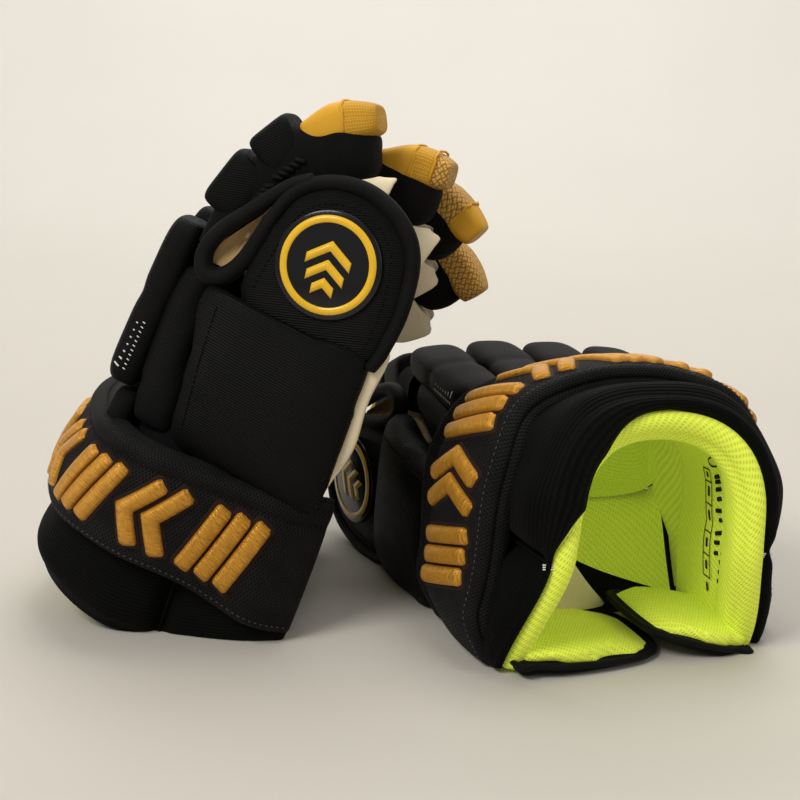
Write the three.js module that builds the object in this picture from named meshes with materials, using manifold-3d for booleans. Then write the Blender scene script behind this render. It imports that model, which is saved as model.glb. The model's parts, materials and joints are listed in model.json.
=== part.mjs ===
// A pair of junior ice hockey gloves, size 10: the right-hand glove lies palm down and the
// left-hand one stands on its cuff, leaning against it. Millimetres, +Z up, origin on the floor.
//
// Each glove is built in its own axes, as a right-hand glove:
//   x runs from the cuff's rim to the fingertips, y towards the thumb, z out of the back of the hand.
// The left-hand glove is the same one mirrored in y.
import * as THREE from "three";
import { mergeVertices } from "three/addons/utils/BufferGeometryUtils.js";
import Module from "manifold-3d";

const wasm = await Module();
wasm.setup();

// ---- Driving dimensions -------------------------------------------------------------------

const GAP = 0.6; // clearance between neighbouring pieces
const FLOOR_HALF = 600; // half the side of the block that stands for the floor

const FINGER_PITCH = 26;
const FINGER_WIDTH = 24.6;
const FINGER_HEIGHT = 26;
const FINGER_BOTTOM = -4; // z of the finger's leather side at the knuckle
const STALL = { width: 15, height: 11.5, wall: 2.4 }; // the tunnel that a finger goes in

const HAND = { start: 77, backTop: 30, palmLow: -26, littleSide: -50, thumbSide: 45 };
const ROLL = { height: 15, width: 25.2, gapAtKnuckle: 4 };
const BOARD_THICK = 4;
const PALM_THICK = 2.4;

// The cuff's section is an arch open at the palm: half an ellipse on two nearly straight sides.
// It is tall and narrow at the rim, low and wide at the wrist.
const CUFF = { centre: -8, bottom: -65, corner: 46, halfWidth: [37, 44], rise: [41, 25] };
const CUFF_END = 68;
const RIM = { start: -8, corner: 20, back: 8 }; // how far the rim stands behind its furthest point
const LINER_THICK = 6;
const SHELL_THICK = 2.5;
const BAND_THICK = 10;
const BAND = { start: 22, end: 72, bulge: 3 };
const FLAP = { start: 4, length: 48, thick: 10, widths: { thumb: 54, little: 46 }, free: 0.55 };
const FLAP_LIFT = { thumb: 0, little: 13 }; // degrees that each flap leans into the cuff
const WRIST = { x: 72, z: -10 };

const THUMB = { bend: 136, outer: 67, centre: -34, length: 54, width: 62, thick: 15 };
const SIDE_PANEL = { thick: 14, widths: [60, 68], centres: [-36, -31] };
const DISC = { radius: 18.5, thick: 1.6 };

// Segment lengths are along the leather side, from knuckle to tip.
const FINGERS = {
  index: { row: 1.5, knuckle: 155, lengths: [23, 13, 27] },
  middle: { row: 0.5, knuckle: 158, lengths: [26, 16, 29] },
  ring: { row: -0.5, knuckle: 155, lengths: [29, 19, 28] },
  little: { row: -1.5, knuckle: 149, lengths: [28, 20, 27] },
};
const NOTCH = 12; // opening left between two rolls on the back of a finger, degrees

// How each glove stands, in degrees and millimetres: its wrist's place and heading, the tilt of
// the hand and of the cuff, the thumb's turn out of the palm, and the rest bends of the fingers.
const PLACES = {
  right: {
    mirror: 1,
    wrist: [73, 47.8, 54],
    heading: 107,
    hand: { roll: 3, pitch: 4 },
    cuff: { roll: 3, pitch: 0 },
    thumb: 10,
    bends: { index: [26, 18, 26], middle: [36, 28, 24], ring: [40, 28, 28], little: [42, 28, 30] },
  },
  left: {
    mirror: -1,
    wrist: [-77, 60, 76.3],
    heading: 0,
    hand: { roll: -14, pitch: 64.5 },
    cuff: { roll: 0, pitch: 70 },
    thumb: 0,
    bends: { index: [14, 14, 28], middle: [32, 34, 14], ring: [44, 24, 42], little: [64, 22, 34] },
  },
};

const COLOURS = {
  shell: [0x101011, 0.78],
  knit: [0x0b0b0c, 0.9],
  leather: [0xcdbd98, 0.75],
  gold: [0xb57a1c, 0.6],
  liner: [0xb4dc2c, 0.8],
  disc: [0x0d0d0e, 0.25],
  plastic: [0x2b2c2e, 0.5],
};

// ---- Small tools --------------------------------------------------------------------------

const radians = THREE.MathUtils.degToRad;
const lerp = THREE.MathUtils.lerp;
const smooth = THREE.MathUtils.smoothstep;
const power = (value, exponent) => Math.sign(value) * Math.abs(value) ** exponent;

// Moves every vertex of a geometry by a function of its place.
function warp(geometry, move) {
  const places = geometry.attributes.position;
  const point = new THREE.Vector3();
  for (let i = 0; i < places.count; i += 1) {
    move(point.fromBufferAttribute(places, i));
    places.setXYZ(i, point.x, point.y, point.z);
  }
  return geometry;
}

function toSolid(geometry) {
  const bare = geometry.clone();
  bare.deleteAttribute("normal");
  bare.deleteAttribute("uv");
  const merged = mergeVertices(bare, 1e-3);
  return new wasm.Manifold(
    new wasm.Mesh({
      numProp: 3,
      vertProperties: new Float32Array(merged.attributes.position.array),
      triVerts: new Uint32Array(merged.index.array),
    }),
  );
}

function fromSolid(solid) {
  const mesh = solid.getMesh();
  const geometry = new THREE.BufferGeometry();
  geometry.setAttribute("position", new THREE.BufferAttribute(mesh.vertProperties, 3));
  geometry.setIndex(new THREE.BufferAttribute(mesh.triVerts, 1));
  return geometry;
}

const cut = (geometry, tool) => fromSolid(toSolid(geometry).subtract(toSolid(tool)));

function piece(name, geometry, colour) {
  const [color, roughness] = COLOURS[colour];
  const mesh = new THREE.Mesh(
    geometry,
    new THREE.MeshStandardMaterial({ color, roughness, metalness: 0 }),
  );
  mesh.name = name;
  return mesh;
}

// A soft block with rounded corners, centred on the origin: higher squareness is boxier.
function softBlock(length, width, height, squareness = 4, columns = 16, rows = 8) {
  return warp(new THREE.SphereGeometry(1, columns, rows).rotateX(Math.PI / 2), (p) => {
    const size =
      (Math.abs(p.x) ** squareness +
        Math.abs(p.y) ** squareness +
        Math.abs(p.z) ** squareness) **
      (1 / squareness);
    p.set((p.x * length) / size / 2, (p.y * width) / size / 2, (p.z * height) / size / 2);
  });
}

// A bar along x from 0 to length with a squared round section standing on z = 0. Each end face
// leans out by a slope, so that its top is longer than its bottom.
function bar({ length, width, height, slopes = [0, 0], sides = 12, rings = 4, ends = 0.78 }) {
  return warp(new THREE.CylinderGeometry(1, 1, 1, sides, rings), (p) => {
    const along = 0.5 - 0.5 * Math.cos(Math.PI * (0.5 + p.y));
    const radius = Math.min(1, Math.hypot(p.x, p.z));
    const angle = Math.atan2(p.x, p.z);
    const swell = lerp(ends, 1, 1 - Math.abs(2 * along - 1) ** 6) * radius;
    const y = (width / 2) * swell * power(Math.cos(angle), 0.6);
    const z = height / 2 + (height / 2) * swell * power(Math.sin(angle), 0.6);
    p.set(lerp(-z * slopes[0], length + z * slopes[1], along), y, z);
  });
}

// ---- Cuff ---------------------------------------------------------------------------------

// A point on the cuff's arch, a distance outside its inner face: share runs from the thumb-side
// corner, 0, over the back to the little-finger corner, 1; along runs from the rim to the wrist.
function archPoint(share, outside, along) {
  const side = 0.19; // share of the path that each straight side takes
  const half = lerp(...CUFF.halfWidth, along) + outside;
  if (share > 0.5) {
    const [y, z] = archPoint(1 - share, outside, along);
    return [-y, z];
  }
  if (share < side) {
    const up = share / side;
    const y = lerp(CUFF.corner + outside, half, smooth(up, 0, 1));
    return [y, lerp(CUFF.bottom, CUFF.centre - 4, up)];
  }
  const angle = (Math.PI * (share - side)) / (1 - 2 * side);
  const rise = lerp(...CUFF.rise, along) + outside;
  return [half * power(Math.cos(angle), 0.8), CUFF.centre + rise * power(Math.sin(angle), 0.8)];
}

// The rim's own line: the pleat between back and side reaches furthest, the corner least.
function rimSetBack(share) {
  const pleat = 0.17;
  const near = Math.min(share, 1 - share);
  return near < pleat
    ? RIM.corner * (1 - near / pleat) ** 1.3
    : RIM.back * smooth(near, pleat, 0.5);
}

// A shell that follows the cuff's arch between two distances outside its inner face. It is an
// extruded strip whose x runs along the arch's path, then bent round that path.
function archShell({ start, end, inside, thick, rim = false, from = 0, to = 1, bulge = 0 }) {
  const strip = new THREE.BoxGeometry(1, 1, 1, 22, 1, 3);
  return warp(strip, (p) => {
    const share = lerp(from, to, p.x + 0.5);
    const along = 0.5 - p.z;
    const x = lerp(start + (rim ? rimSetBack(share) : 0), end, along);
    const swell = p.y > 0 ? bulge * Math.sin(Math.PI * along) : 0;
    const outside = inside + (p.y + 0.5) * thick + swell;
    const [y, z] = archPoint(share, outside, (x - RIM.start) / (CUFF_END - RIM.start));
    p.set(x, y, z);
  });
}

function cuffShells(side) {
  const shellInside = LINER_THICK + GAP;
  const bandInside = shellInside + SHELL_THICK + GAP;
  const liner = { start: RIM.start, end: CUFF_END, inside: 0, thick: LINER_THICK, rim: true };
  const shell = {
    start: RIM.start + 1.5,
    end: CUFF_END,
    inside: shellInside,
    thick: SHELL_THICK,
    rim: true,
  };
  const band = { ...BAND, inside: bandInside, thick: BAND_THICK, from: 0.03, to: 0.97 };
  return [
    piece(`${side}_cuff_liner`, archShell(liner), "liner"),
    piece(`${side}_cuff_shell`, archShell(shell), "shell"),
    piece(`${side}_cuff_roll`, archShell(band), "shell"),
  ];
}

// The two padded flaps that close the cuff on the palm side, each hinged along its outer edge
// and thinner towards its free end. The little finger's flap rests on the end of the thumb's one.
function flap(side, which) {
  const sign = which === "thumb" ? 1 : -1;
  const width = FLAP.widths[which];
  const hingeY = CUFF.corner - 1;
  const pivot = new THREE.Group();
  pivot.name = `${side}_${which}_flap_hinge`;
  pivot.position.set(0, sign * hingeY, CUFF.bottom + FLAP.thick / 2);
  pivot.rotation.x = radians(sign * -FLAP_LIFT[which]);
  const pad = warp(softBlock(FLAP.length, width, FLAP.thick, 6, 16, 8), (p) => {
    p.z *= lerp(1, FLAP.free, 0.5 - (sign * p.y) / width);
  });
  const mesh = piece(`${side}_${which}_flap`, pad, "liner");
  mesh.position.set(FLAP.start + FLAP.length / 2, -sign * (width / 2 + 1.5), 0);
  pivot.add(mesh);
  return pivot;
}

// ---- Palm, back and rolls -----------------------------------------------------------------

// x of the knuckles across the hand: the middle finger's is the furthest out.
const knuckleX = (y) => 157.6 - 0.0022 * (y - 10) ** 2 - (y < -13 ? 0.12 * (-13 - y) : 0);

// z of the palm leather: the heel of the hand is deep, the finger roots are shallow.
const palmZ = (x) => lerp(HAND.palmLow, FINGER_BOTTOM - PALM_THICK - 1.2, smooth(x, 96, 146));

function palm(side) {
  const sheet = new THREE.BoxGeometry(1, 1, 1, 8, 6, 1);
  const geometry = warp(sheet, (p) => {
    const across = p.y + 0.5;
    const wide = smooth(lerp(HAND.start, 150, p.x + 0.5), 80, 120);
    const y = lerp(HAND.littleSide, HAND.thumbSide, across) * lerp(0.84, 1, wide);
    const x = lerp(HAND.start, knuckleX(y) - 2.5, p.x + 0.5);
    const sag = 3 * (1 - (2 * across - 1) ** 2) * (0.5 - p.x);
    p.set(x, y, palmZ(x) - sag + (p.z + 0.5) * PALM_THICK);
  });
  return piece(`${side}_palm`, geometry, "leather");
}

// The padded board under the rolls, which is the roof of the space for the hand.
function backBoard(side) {
  const board = new THREE.BoxGeometry(1, 1, 1, 4, 8, 1);
  const geometry = warp(board, (p) => {
    const y = p.y * 100;
    const x = lerp(HAND.start + 1, knuckleX(y) - 3, p.x + 0.5);
    const crown = 3.6 * (p.y * 2) ** 2;
    const middle = HAND.backTop - ROLL.height - GAP - BOARD_THICK / 2 - crown;
    p.set(x, y, middle + p.z * BOARD_THICK);
  });
  return piece(`${side}_back_board`, geometry, "knit");
}

function backRoll(side, finger) {
  const { row, knuckle } = FINGERS[finger];
  const start = HAND.start + 1 + 2 * Math.abs(row);
  const length = knuckle - ROLL.gapAtKnuckle - start;
  const roll = bar({ length, width: ROLL.width, height: ROLL.height, rings: 6, sides: 14 });
  const mesh = piece(`${side}_${finger}_back_roll`, roll, "shell");
  const outer = Math.abs(row) > 1;
  mesh.position.set(start, row * FINGER_PITCH, HAND.backTop - ROLL.height - (outer ? 1.4 : 0.3));
  mesh.rotation.x = outer ? -Math.sign(row) * radians(6) : 0;
  return mesh;
}

// The padded wall along the little finger's side of the hand.
function littleSidePanel(side) {
  const wall = softBlock(68, 9, 40, 6, 14, 8);
  const mesh = piece(`${side}_little_side_panel`, wall, "shell");
  mesh.position.set(HAND.start + 35, HAND.littleSide - 7.5, -7);
  return mesh;
}

// ---- Thumb --------------------------------------------------------------------------------

// The broad padded panel that covers the side of the hand from the back to below the palm.
function thumbSidePanel(side) {
  const { thick, widths, centres } = SIDE_PANEL;
  const panel = warp(softBlock(1, 1, 1, 8, 16, 10), (p) => {
    const along = p.x + 0.5;
    const x = lerp(HAND.start, THUMB.bend - 1, along);
    const outside = THUMB.outer - lerp(6, 1, along) - 4 * (2 * p.z) ** 4;
    p.set(x, outside - (0.5 - p.y) * thick, lerp(...centres, along) + p.z * lerp(...widths, along));
  });
  return piece(`${side}_thumb_side_panel`, panel, "shell");
}

// The thumb turns on a line across its side panel's end. Its pieces are placed from that line.
function thumb(side) {
  const { bend, outer, centre, length, width, thick } = THUMB;
  const pivot = new THREE.Group();
  pivot.name = `${side}_thumb_hinge`;
  pivot.position.set(bend, outer - thick, centre);
  pivot.rotation.z = radians(PLACES[side].thumb);
  const middle = length / 2 + 1.2;
  const pad = softBlock(length, thick, width, 2.9, 20, 10).translate(middle, thick / 2, 0);
  const disc = new THREE.CylinderGeometry(DISC.radius, DISC.radius, DISC.thick, 32);
  disc.translate(middle, thick - DISC.thick / 2 - 0.2, -2);
  const recess = new THREE.CylinderGeometry(DISC.radius + 0.4, DISC.radius + 0.4, 4, 32);
  recess.translate(middle, thick - DISC.thick + 1.4, -2);
  const insert = softBlock(40, 1.8, 44, 5, 16, 6).translate(middle - 2, -2, 0);
  const stall = softBlock(36, 15, 38, 4, 14, 8).translate(middle - 8, -11.5, -4);
  const pocket = softBlock(40, 9.5, 28, 4, 12, 6).translate(middle - 16, -11.5, -4);
  pivot.add(
    piece(`${side}_thumb_pad`, cut(pad, recess), "shell"),
    piece(`${side}_thumb_disc`, disc, "disc"),
    piece(`${side}_thumb_insert`, insert, "plastic"),
    piece(`${side}_thumb_stall`, cut(stall, pocket), "leather"),
  );
  return pivot;
}

// ---- Fingers ------------------------------------------------------------------------------

// One padded length of a finger: thick foam over the back, a tunnel for the finger beneath it.
function fingerSegment({ length, slopes, scale, blind }) {
  const width = FINGER_WIDTH * scale;
  const height = FINGER_HEIGHT * scale;
  const outer = bar({ length: length - 2 * GAP, width, height, slopes }).translate(GAP, 0, 0);
  const reach = blind ? length * 0.55 : length * 2;
  const tunnel = bar({
    length: reach + length,
    width: STALL.width * scale,
    height: STALL.height * scale,
    sides: 10,
    rings: 1,
    ends: 1,
  }).translate(-length, 0, STALL.wall);
  return cut(outer, tunnel);
}

// A finger is three lengths, each turning on the leather side of the one before it.
function finger(side, name) {
  const { row, knuckle, lengths } = FINGERS[name];
  const bends = PLACES[side].bends[name];
  const parts = ["base", "middle", "tip"];
  const widths = [1, 0.98, 0.95];
  const wedge = (bend) => Math.tan(radians(Math.max(0, bend - NOTCH) / 2));
  const root = new THREE.Group();
  root.position.set(knuckle, row * FINGER_PITCH, FINGER_BOTTOM);
  let parent = root;
  lengths.forEach((length, i) => {
    const pivot = new THREE.Group();
    pivot.name = `${side}_${name}_${["knuckle", "middle_bend", "tip_bend"][i]}`;
    pivot.position.x = i ? lengths[i - 1] : 0;
    pivot.rotation.y = radians(bends[i]);
    const slopes = [i ? wedge(bends[i]) : 0, i < 2 ? wedge(bends[i + 1]) : 0];
    const colour = i < 2 ? "shell" : "gold";
    const geometry = fingerSegment({ length, slopes, scale: widths[i], blind: i === 2 });
    pivot.add(piece(`${side}_${name}_${parts[i]}`, geometry, colour));
    parent.add(pivot);
    parent = pivot;
  });
  return root;
}

// ---- Gloves and pair ----------------------------------------------------------------------

// Pieces in a glove's own axes, mirrored for a left hand and tilted about its wrist.
function tilted(side, name, { roll, pitch }, pieces) {
  const axes = new THREE.Group();
  axes.scale.y = PLACES[side].mirror;
  axes.position.set(-WRIST.x, 0, -WRIST.z);
  axes.add(...pieces);
  const tilt = new THREE.Group();
  tilt.name = `${side}_${name}`;
  tilt.rotation.set(radians(roll), radians(-pitch), 0, "ZYX");
  tilt.add(axes);
  return tilt;
}

function glove(side) {
  const { wrist, heading, hand, cuff } = PLACES[side];
  const names = Object.keys(FINGERS);
  const handPieces = [
    palm(side),
    backBoard(side),
    littleSidePanel(side),
    thumbSidePanel(side),
    thumb(side),
    ...names.map((name) => backRoll(side, name)),
    ...names.map((name) => finger(side, name)),
  ];
  const cuffPieces = [...cuffShells(side), flap(side, "thumb"), flap(side, "little")];
  const placed = new THREE.Group();
  placed.rotation.z = radians(heading);
  placed.position.set(...wrist);
  placed.add(tilted(side, "hand", hand, handPieces), tilted(side, "wrist", cuff, cuffPieces));
  return placed;
}

// Padding that reaches the floor flattens on it: whatever lies below z = 0 is cut away.
function flattenOnFloor(root) {
  const block = new THREE.BoxGeometry(2 * FLOOR_HALF, 2 * FLOOR_HALF, FLOOR_HALF);
  block.translate(0, 0, -FLOOR_HALF / 2);
  root.updateMatrixWorld(true);
  root.traverse((mesh) => {
    if (!mesh.isMesh) return;
    const lowest = new THREE.Box3().setFromObject(mesh, true).min.z;
    if (lowest >= 0) return;
    // In a mirrored glove's own axes the block has to be mirrored too, to keep facing outwards.
    const handed = Math.sign(mesh.matrixWorld.determinant());
    const floor = block.clone().scale(handed, 1, 1);
    floor.applyMatrix4(mesh.matrixWorld.clone().invert());
    mesh.geometry = cut(mesh.geometry, floor);
  });
}

const pair = new THREE.Group();
pair.add(glove("right"), glove("left"));
flattenOnFloor(pair);

// The origin is on the floor, under the middle of the pair.
const middle = new THREE.Box3().setFromObject(pair, true).getCenter(new THREE.Vector3());
pair.children.forEach((placed) => placed.position.sub(new THREE.Vector3(middle.x, middle.y, 0)));

export default pair;
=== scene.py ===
import json
import math

import bmesh
import bpy
import numpy as np
from mathutils import Matrix, Vector
from mathutils.bvhtree import BVHTree


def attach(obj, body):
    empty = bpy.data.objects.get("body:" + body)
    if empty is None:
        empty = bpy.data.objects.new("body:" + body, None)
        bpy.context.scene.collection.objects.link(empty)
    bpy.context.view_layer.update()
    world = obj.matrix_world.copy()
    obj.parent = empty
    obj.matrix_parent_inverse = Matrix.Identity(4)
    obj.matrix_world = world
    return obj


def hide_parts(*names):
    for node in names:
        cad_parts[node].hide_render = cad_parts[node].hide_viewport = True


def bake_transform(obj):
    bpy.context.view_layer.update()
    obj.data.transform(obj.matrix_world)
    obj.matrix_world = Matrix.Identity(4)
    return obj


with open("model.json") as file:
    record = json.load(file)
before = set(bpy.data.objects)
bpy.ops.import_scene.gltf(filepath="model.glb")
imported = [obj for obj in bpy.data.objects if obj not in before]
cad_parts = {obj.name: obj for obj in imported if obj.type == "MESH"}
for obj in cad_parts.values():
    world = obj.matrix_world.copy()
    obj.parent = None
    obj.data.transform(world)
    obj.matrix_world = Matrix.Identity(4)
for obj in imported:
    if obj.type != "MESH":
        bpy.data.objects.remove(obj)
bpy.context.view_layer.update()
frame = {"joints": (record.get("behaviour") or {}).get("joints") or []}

# A pair of ice hockey gloves. Every piece is shaped in a glove's own axes, in millimetres, as a
# right-hand glove: x runs from the cuff's rim to the fingertips, y towards the thumb, and z out
# of the back of the hand. The left-hand glove is the same, mirrored in y.

MM = 0.001
SIDES = ("right", "left")
UV = "cloth"  # the map whose u and v are millimetres of cloth

# ---- Dimensions: the CAD's, except the rim's set-back, which the soft cuff shows deeper -----

HAND = {"start": 77, "back_top": 30, "palm_low": -26, "little_side": -50, "thumb_side": 45}
ROLL = {"height": 15, "width": 25.4, "gap_at_knuckle": 4}
CUFF = {"centre": -8, "bottom": -65, "corner": 46, "half_width": (37, 44), "rise": (41, 25)}
CUFF_END = 68
RIM = {"start": -8, "corner": 20, "back": 12}
PLEAT = 0.17  # share of the arch where the cuff's back meets its side
SHELL_IN, SHELL_OUT = 6.6, 9.1
BAND = {"start": 22, "end": 72, "inside": 9.7, "thick": 12, "bulge": 3.6}
FLAP = {"start": 4, "length": 48, "thick": 10, "thumb": 54, "little": 46, "free": 0.55}
FLAP_LIFT = {"thumb": 0, "little": 13}
FLOOR = 0.0004  # padding that reaches the floor lies flat just above it
WRIST = (72, 0, -10)
THUMB = {"bend": 136, "outer": 67, "centre": -34, "thick": 15}
PITCH = 26
FINGER_BOTTOM = -4
FINGERS = {
    "index": {"row": 1.5, "knuckle": 155, "lengths": (23, 13, 27)},
    "middle": {"row": 0.5, "knuckle": 158, "lengths": (26, 16, 29)},
    "ring": {"row": -0.5, "knuckle": 155, "lengths": (29, 19, 28)},
    "little": {"row": -1.5, "knuckle": 149, "lengths": (28, 20, 27)},
}
PLACES = {
    "right": {
        "mirror": 1, "heading": 107, "hand": (3, 4), "cuff": (3, 0), "thumb": 10,
        "bends": {"index": (26, 18, 26), "middle": (36, 28, 24), "ring": (40, 28, 28),
                  "little": (42, 28, 30)},
    },
    "left": {
        "mirror": -1, "heading": 0, "hand": (-14, 64.5), "cuff": (0, 70), "thumb": 0,
        "bends": {"index": (14, 14, 28), "middle": (32, 34, 14), "ring": (44, 24, 42),
                  "little": (64, 22, 34)},
    },
}


# ---- Axes ---------------------------------------------------------------------------------

def turn(degrees, axis):
    return Matrix.Rotation(math.radians(degrees), 4, axis)


def joint_point(name):
    return Vector(next(j["pos_m"] for j in frame["joints"] if j["name"] == name))


def glove_axes(side, part):
    """Axes of a glove's hand or cuff: millimetres in them are metres in the frame."""
    place = PLACES[side]
    roll, pitch = place[part]
    wrist = Matrix.Translation(joint_point(f"{side}_wrist_bend"))
    tilt = turn(place["heading"], "Z") @ turn(-pitch, "Y") @ turn(roll, "X")
    size = Matrix.Diagonal((MM, MM * place["mirror"], MM, 1))
    return wrist @ tilt @ size @ Matrix.Translation(-Vector(WRIST))


def thumb_axes(side):
    spot = (THUMB["bend"], THUMB["outer"] - THUMB["thick"], THUMB["centre"])
    return glove_axes(side, "hand") @ Matrix.Translation(spot) @ turn(PLACES[side]["thumb"], "Z")


def flap_axes(side, which):
    sign = 1 if which == "thumb" else -1
    spot = (0, sign * (CUFF["corner"] - 1), CUFF["bottom"] + FLAP["thick"] / 2)
    lift = -sign * FLAP_LIFT[which]
    return glove_axes(side, "cuff") @ Matrix.Translation(spot) @ turn(lift, "X")


def finger_axes(side, finger, segment):
    """Axes of one length of a finger; segment 0 is the base, 2 the tip."""
    spec = FINGERS[finger]
    axes = glove_axes(side, "hand") @ Matrix.Translation(
        (spec["knuckle"], spec["row"] * PITCH, FINGER_BOTTOM))
    for i in range(segment + 1):
        if i:
            axes = axes @ Matrix.Translation((spec["lengths"][i - 1], 0, 0))
        axes = axes @ turn(PLACES[side]["bends"][finger][i], "Y")
    return axes


# ---- Meshes -------------------------------------------------------------------------------

def weld(mesh, distance):
    """Joins the points that lie together, in metres, and turns the faces outwards."""
    work = bmesh.new()
    work.from_mesh(mesh)
    bmesh.ops.remove_doubles(work, verts=work.verts, dist=distance)
    bmesh.ops.recalc_face_normals(work, faces=work.faces)
    work.to_mesh(mesh)
    work.free()


def add(name, points, faces, uvs, axes, looks, which=None, levels=0):
    """A mesh object from points in some axes. uvs holds one pair for each corner of each face,
    and which the number of the material for each face."""
    mesh = bpy.data.meshes.new(name)
    points = np.asarray(points, float)
    world = np.c_[points, np.ones(len(points))] @ np.array(axes).T
    world[:, 2] = np.maximum(world[:, 2], FLOOR)
    mesh.from_pydata(world[:, :3].tolist(), [], faces)
    layer = mesh.uv_layers.new(name=UV)
    layer.data.foreach_set("uv", np.asarray(uvs, np.float32).ravel())
    looks = looks if isinstance(looks, (list, tuple)) else [looks]
    for look in looks:
        mesh.materials.append(look)
    if which is not None:
        mesh.polygons.foreach_set("material_index", np.asarray(which, np.int32))
    weld(mesh, 2e-6)
    mesh.polygons.foreach_set("use_smooth", np.full(len(mesh.polygons), True))
    piece = bpy.data.objects.new(name, mesh)
    bpy.context.scene.collection.objects.link(piece)
    if levels:
        modifier = piece.modifiers.new("smooth", "SUBSURF")
        modifier.levels = modifier.render_levels = levels
        modifier.boundary_smooth = "PRESERVE_CORNERS"
    return piece


def grid(points):
    """Faces and uvs of a grid of points, with shape (rows, columns, 3). u and v are the mean
    lengths along its rows and columns."""
    rows, columns = points.shape[:2]
    step_u = np.linalg.norm(np.diff(points, axis=0), axis=2).mean(1)
    step_v = np.linalg.norm(np.diff(points, axis=1), axis=2).mean(0)
    u = np.concatenate([[0], np.cumsum(step_u)])
    v = np.concatenate([[0], np.cumsum(step_v)])
    i, j = np.meshgrid(np.arange(rows - 1), np.arange(columns - 1), indexing="ij")
    i, j = i.ravel(), j.ravel()
    corners = [(i, j), (i + 1, j), (i + 1, j + 1), (i, j + 1)]
    faces = np.stack([a * columns + b for a, b in corners], 1)
    uvs = np.stack([np.stack([u[a], v[b]], 1) for a, b in corners], 1)
    return faces.tolist(), uvs.reshape(-1, 2)


def surface(name, points, axes, looks, which=None, levels=0):
    faces, uvs = grid(points)
    return add(name, points.reshape(-1, 3), faces, uvs, axes, looks, which, levels=levels)


def several(name, parts, axes, look):
    """One piece from several grids, such as the strokes of an embroidery or a row of stitches."""
    points, faces, uvs, start = [], [], [], 0
    for part in parts:
        some_faces, some_uvs = grid(part)
        points.append(part.reshape(-1, 3))
        faces += [[start + k for k in face] for face in some_faces]
        uvs.append(some_uvs)
        start += len(points[-1])
    return add(name, np.concatenate(points), faces, np.concatenate(uvs), axes, look)


def unit(vectors):
    return vectors / np.maximum(np.linalg.norm(vectors, axis=-1, keepdims=True), 1e-9)


def tube(path, radius, up=(0, 0, 1), sides=10, flat=1.0, closed=False):
    """Grid of a round cord along a path; flat squeezes it towards the surface with normal up."""
    path = np.asarray(path, float)
    along = np.gradient(path, axis=0)
    if closed:
        along = np.roll(path, -1, 0) - np.roll(path, 1, 0)
        path, along = np.vstack([path, path[:1]]), np.vstack([along, along[:1]])
    along = unit(along)
    up = np.broadcast_to(np.asarray(up, float), path.shape) if np.ndim(up) == 1 else np.asarray(up)
    if closed and len(up) == len(path) - 1:
        up = np.vstack([up, up[:1]])
    side = unit(np.cross(along, up))
    over = np.cross(side, along)
    radius = np.broadcast_to(np.asarray(radius, float), (len(path),)).copy()
    angle = np.linspace(0, 2 * np.pi, sides + 1)
    ring = (np.cos(angle)[None, :, None] * side[:, None] +
            flat * np.sin(angle)[None, :, None] * over[:, None])
    points = path[:, None] + radius[:, None, None] * ring
    if not closed:
        first = path[0] - along[0] * radius[0] * 0.5
        last = path[-1] + along[-1] * radius[-1] * 0.5
        near = [path[k] + (points[k] - path[k]) * 0.7 + shift * 0.3 for k, shift in
                ((0, first - path[0]), (-1, last - path[-1]))]
        points = np.concatenate([np.broadcast_to(first, (1, sides + 1, 3)), near[0][None],
                                 points, near[1][None],
                                 np.broadcast_to(last, (1, sides + 1, 3))])
    return points


def distances(path):
    """Distance of each point of a path from its start, along the path."""
    return np.concatenate([[0], np.cumsum(np.linalg.norm(np.diff(path, axis=0), axis=1))])


def between(at, known, values):
    """Linear interpolation of each column of values."""
    return np.stack([np.interp(at, known, column) for column in np.asarray(values).T], 1)


def curve(points, count=60, closed=False):
    """A smooth line through a few points."""
    points = np.asarray(points, float)
    if closed:
        points = np.vstack([points[-1:], points, points[:2]])
    else:
        points = np.vstack([2 * points[0] - points[1], points, 2 * points[-1] - points[-2]])
    spans = len(points) - 3
    out = []
    for t in np.linspace(0, spans, count, endpoint=not closed):
        k = min(int(t), spans - 1)
        f = t - k
        a, b, c, d = points[k:k + 4]
        out.append(0.5 * (2 * b + (c - a) * f + (2 * a - 5 * b + 4 * c - d) * f ** 2 +
                          (3 * b - a - 3 * c + d) * f ** 3))
    return np.array(out)


def dashes(path, normals, length=1.8, gap=1.1, radius=0.28, lift=0.12):
    """Grids of a row of short stitches along a path, each a small raised dash."""
    step = 0.25
    reach = distances(path)
    count = max(2, int(round(reach[-1] / step)) + 1)
    fine = between(np.linspace(0, reach[-1], count), reach, path)
    ups = unit(between(np.linspace(0, 1, count), np.linspace(0, 1, len(path)), normals))
    per, used = int((length + gap) / step), int(length / step)
    parts = []
    for k in range(0, len(fine) - used, per):
        run = slice(k, k + used + 1, 2)
        bow = np.sin(np.linspace(0, np.pi, len(fine[run])))[:, None]
        line = fine[run] + ups[run] * (lift + 0.22 * bow - 0.1)
        parts.append(tube(line, radius, ups[run], sides=6))
    return parts


def power(value, exponent):
    return np.sign(value) * np.abs(value) ** exponent


def smooth(value, low, high):
    t = np.clip((value - low) / (high - low), 0, 1)
    return t * t * (3 - 2 * t)


def mix(a, b, t):
    return a + (b - a) * t


def bell(value, centre, width):
    return np.exp(-((value - centre) / width) ** 2)


# ---- Looks --------------------------------------------------------------------------------

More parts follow.
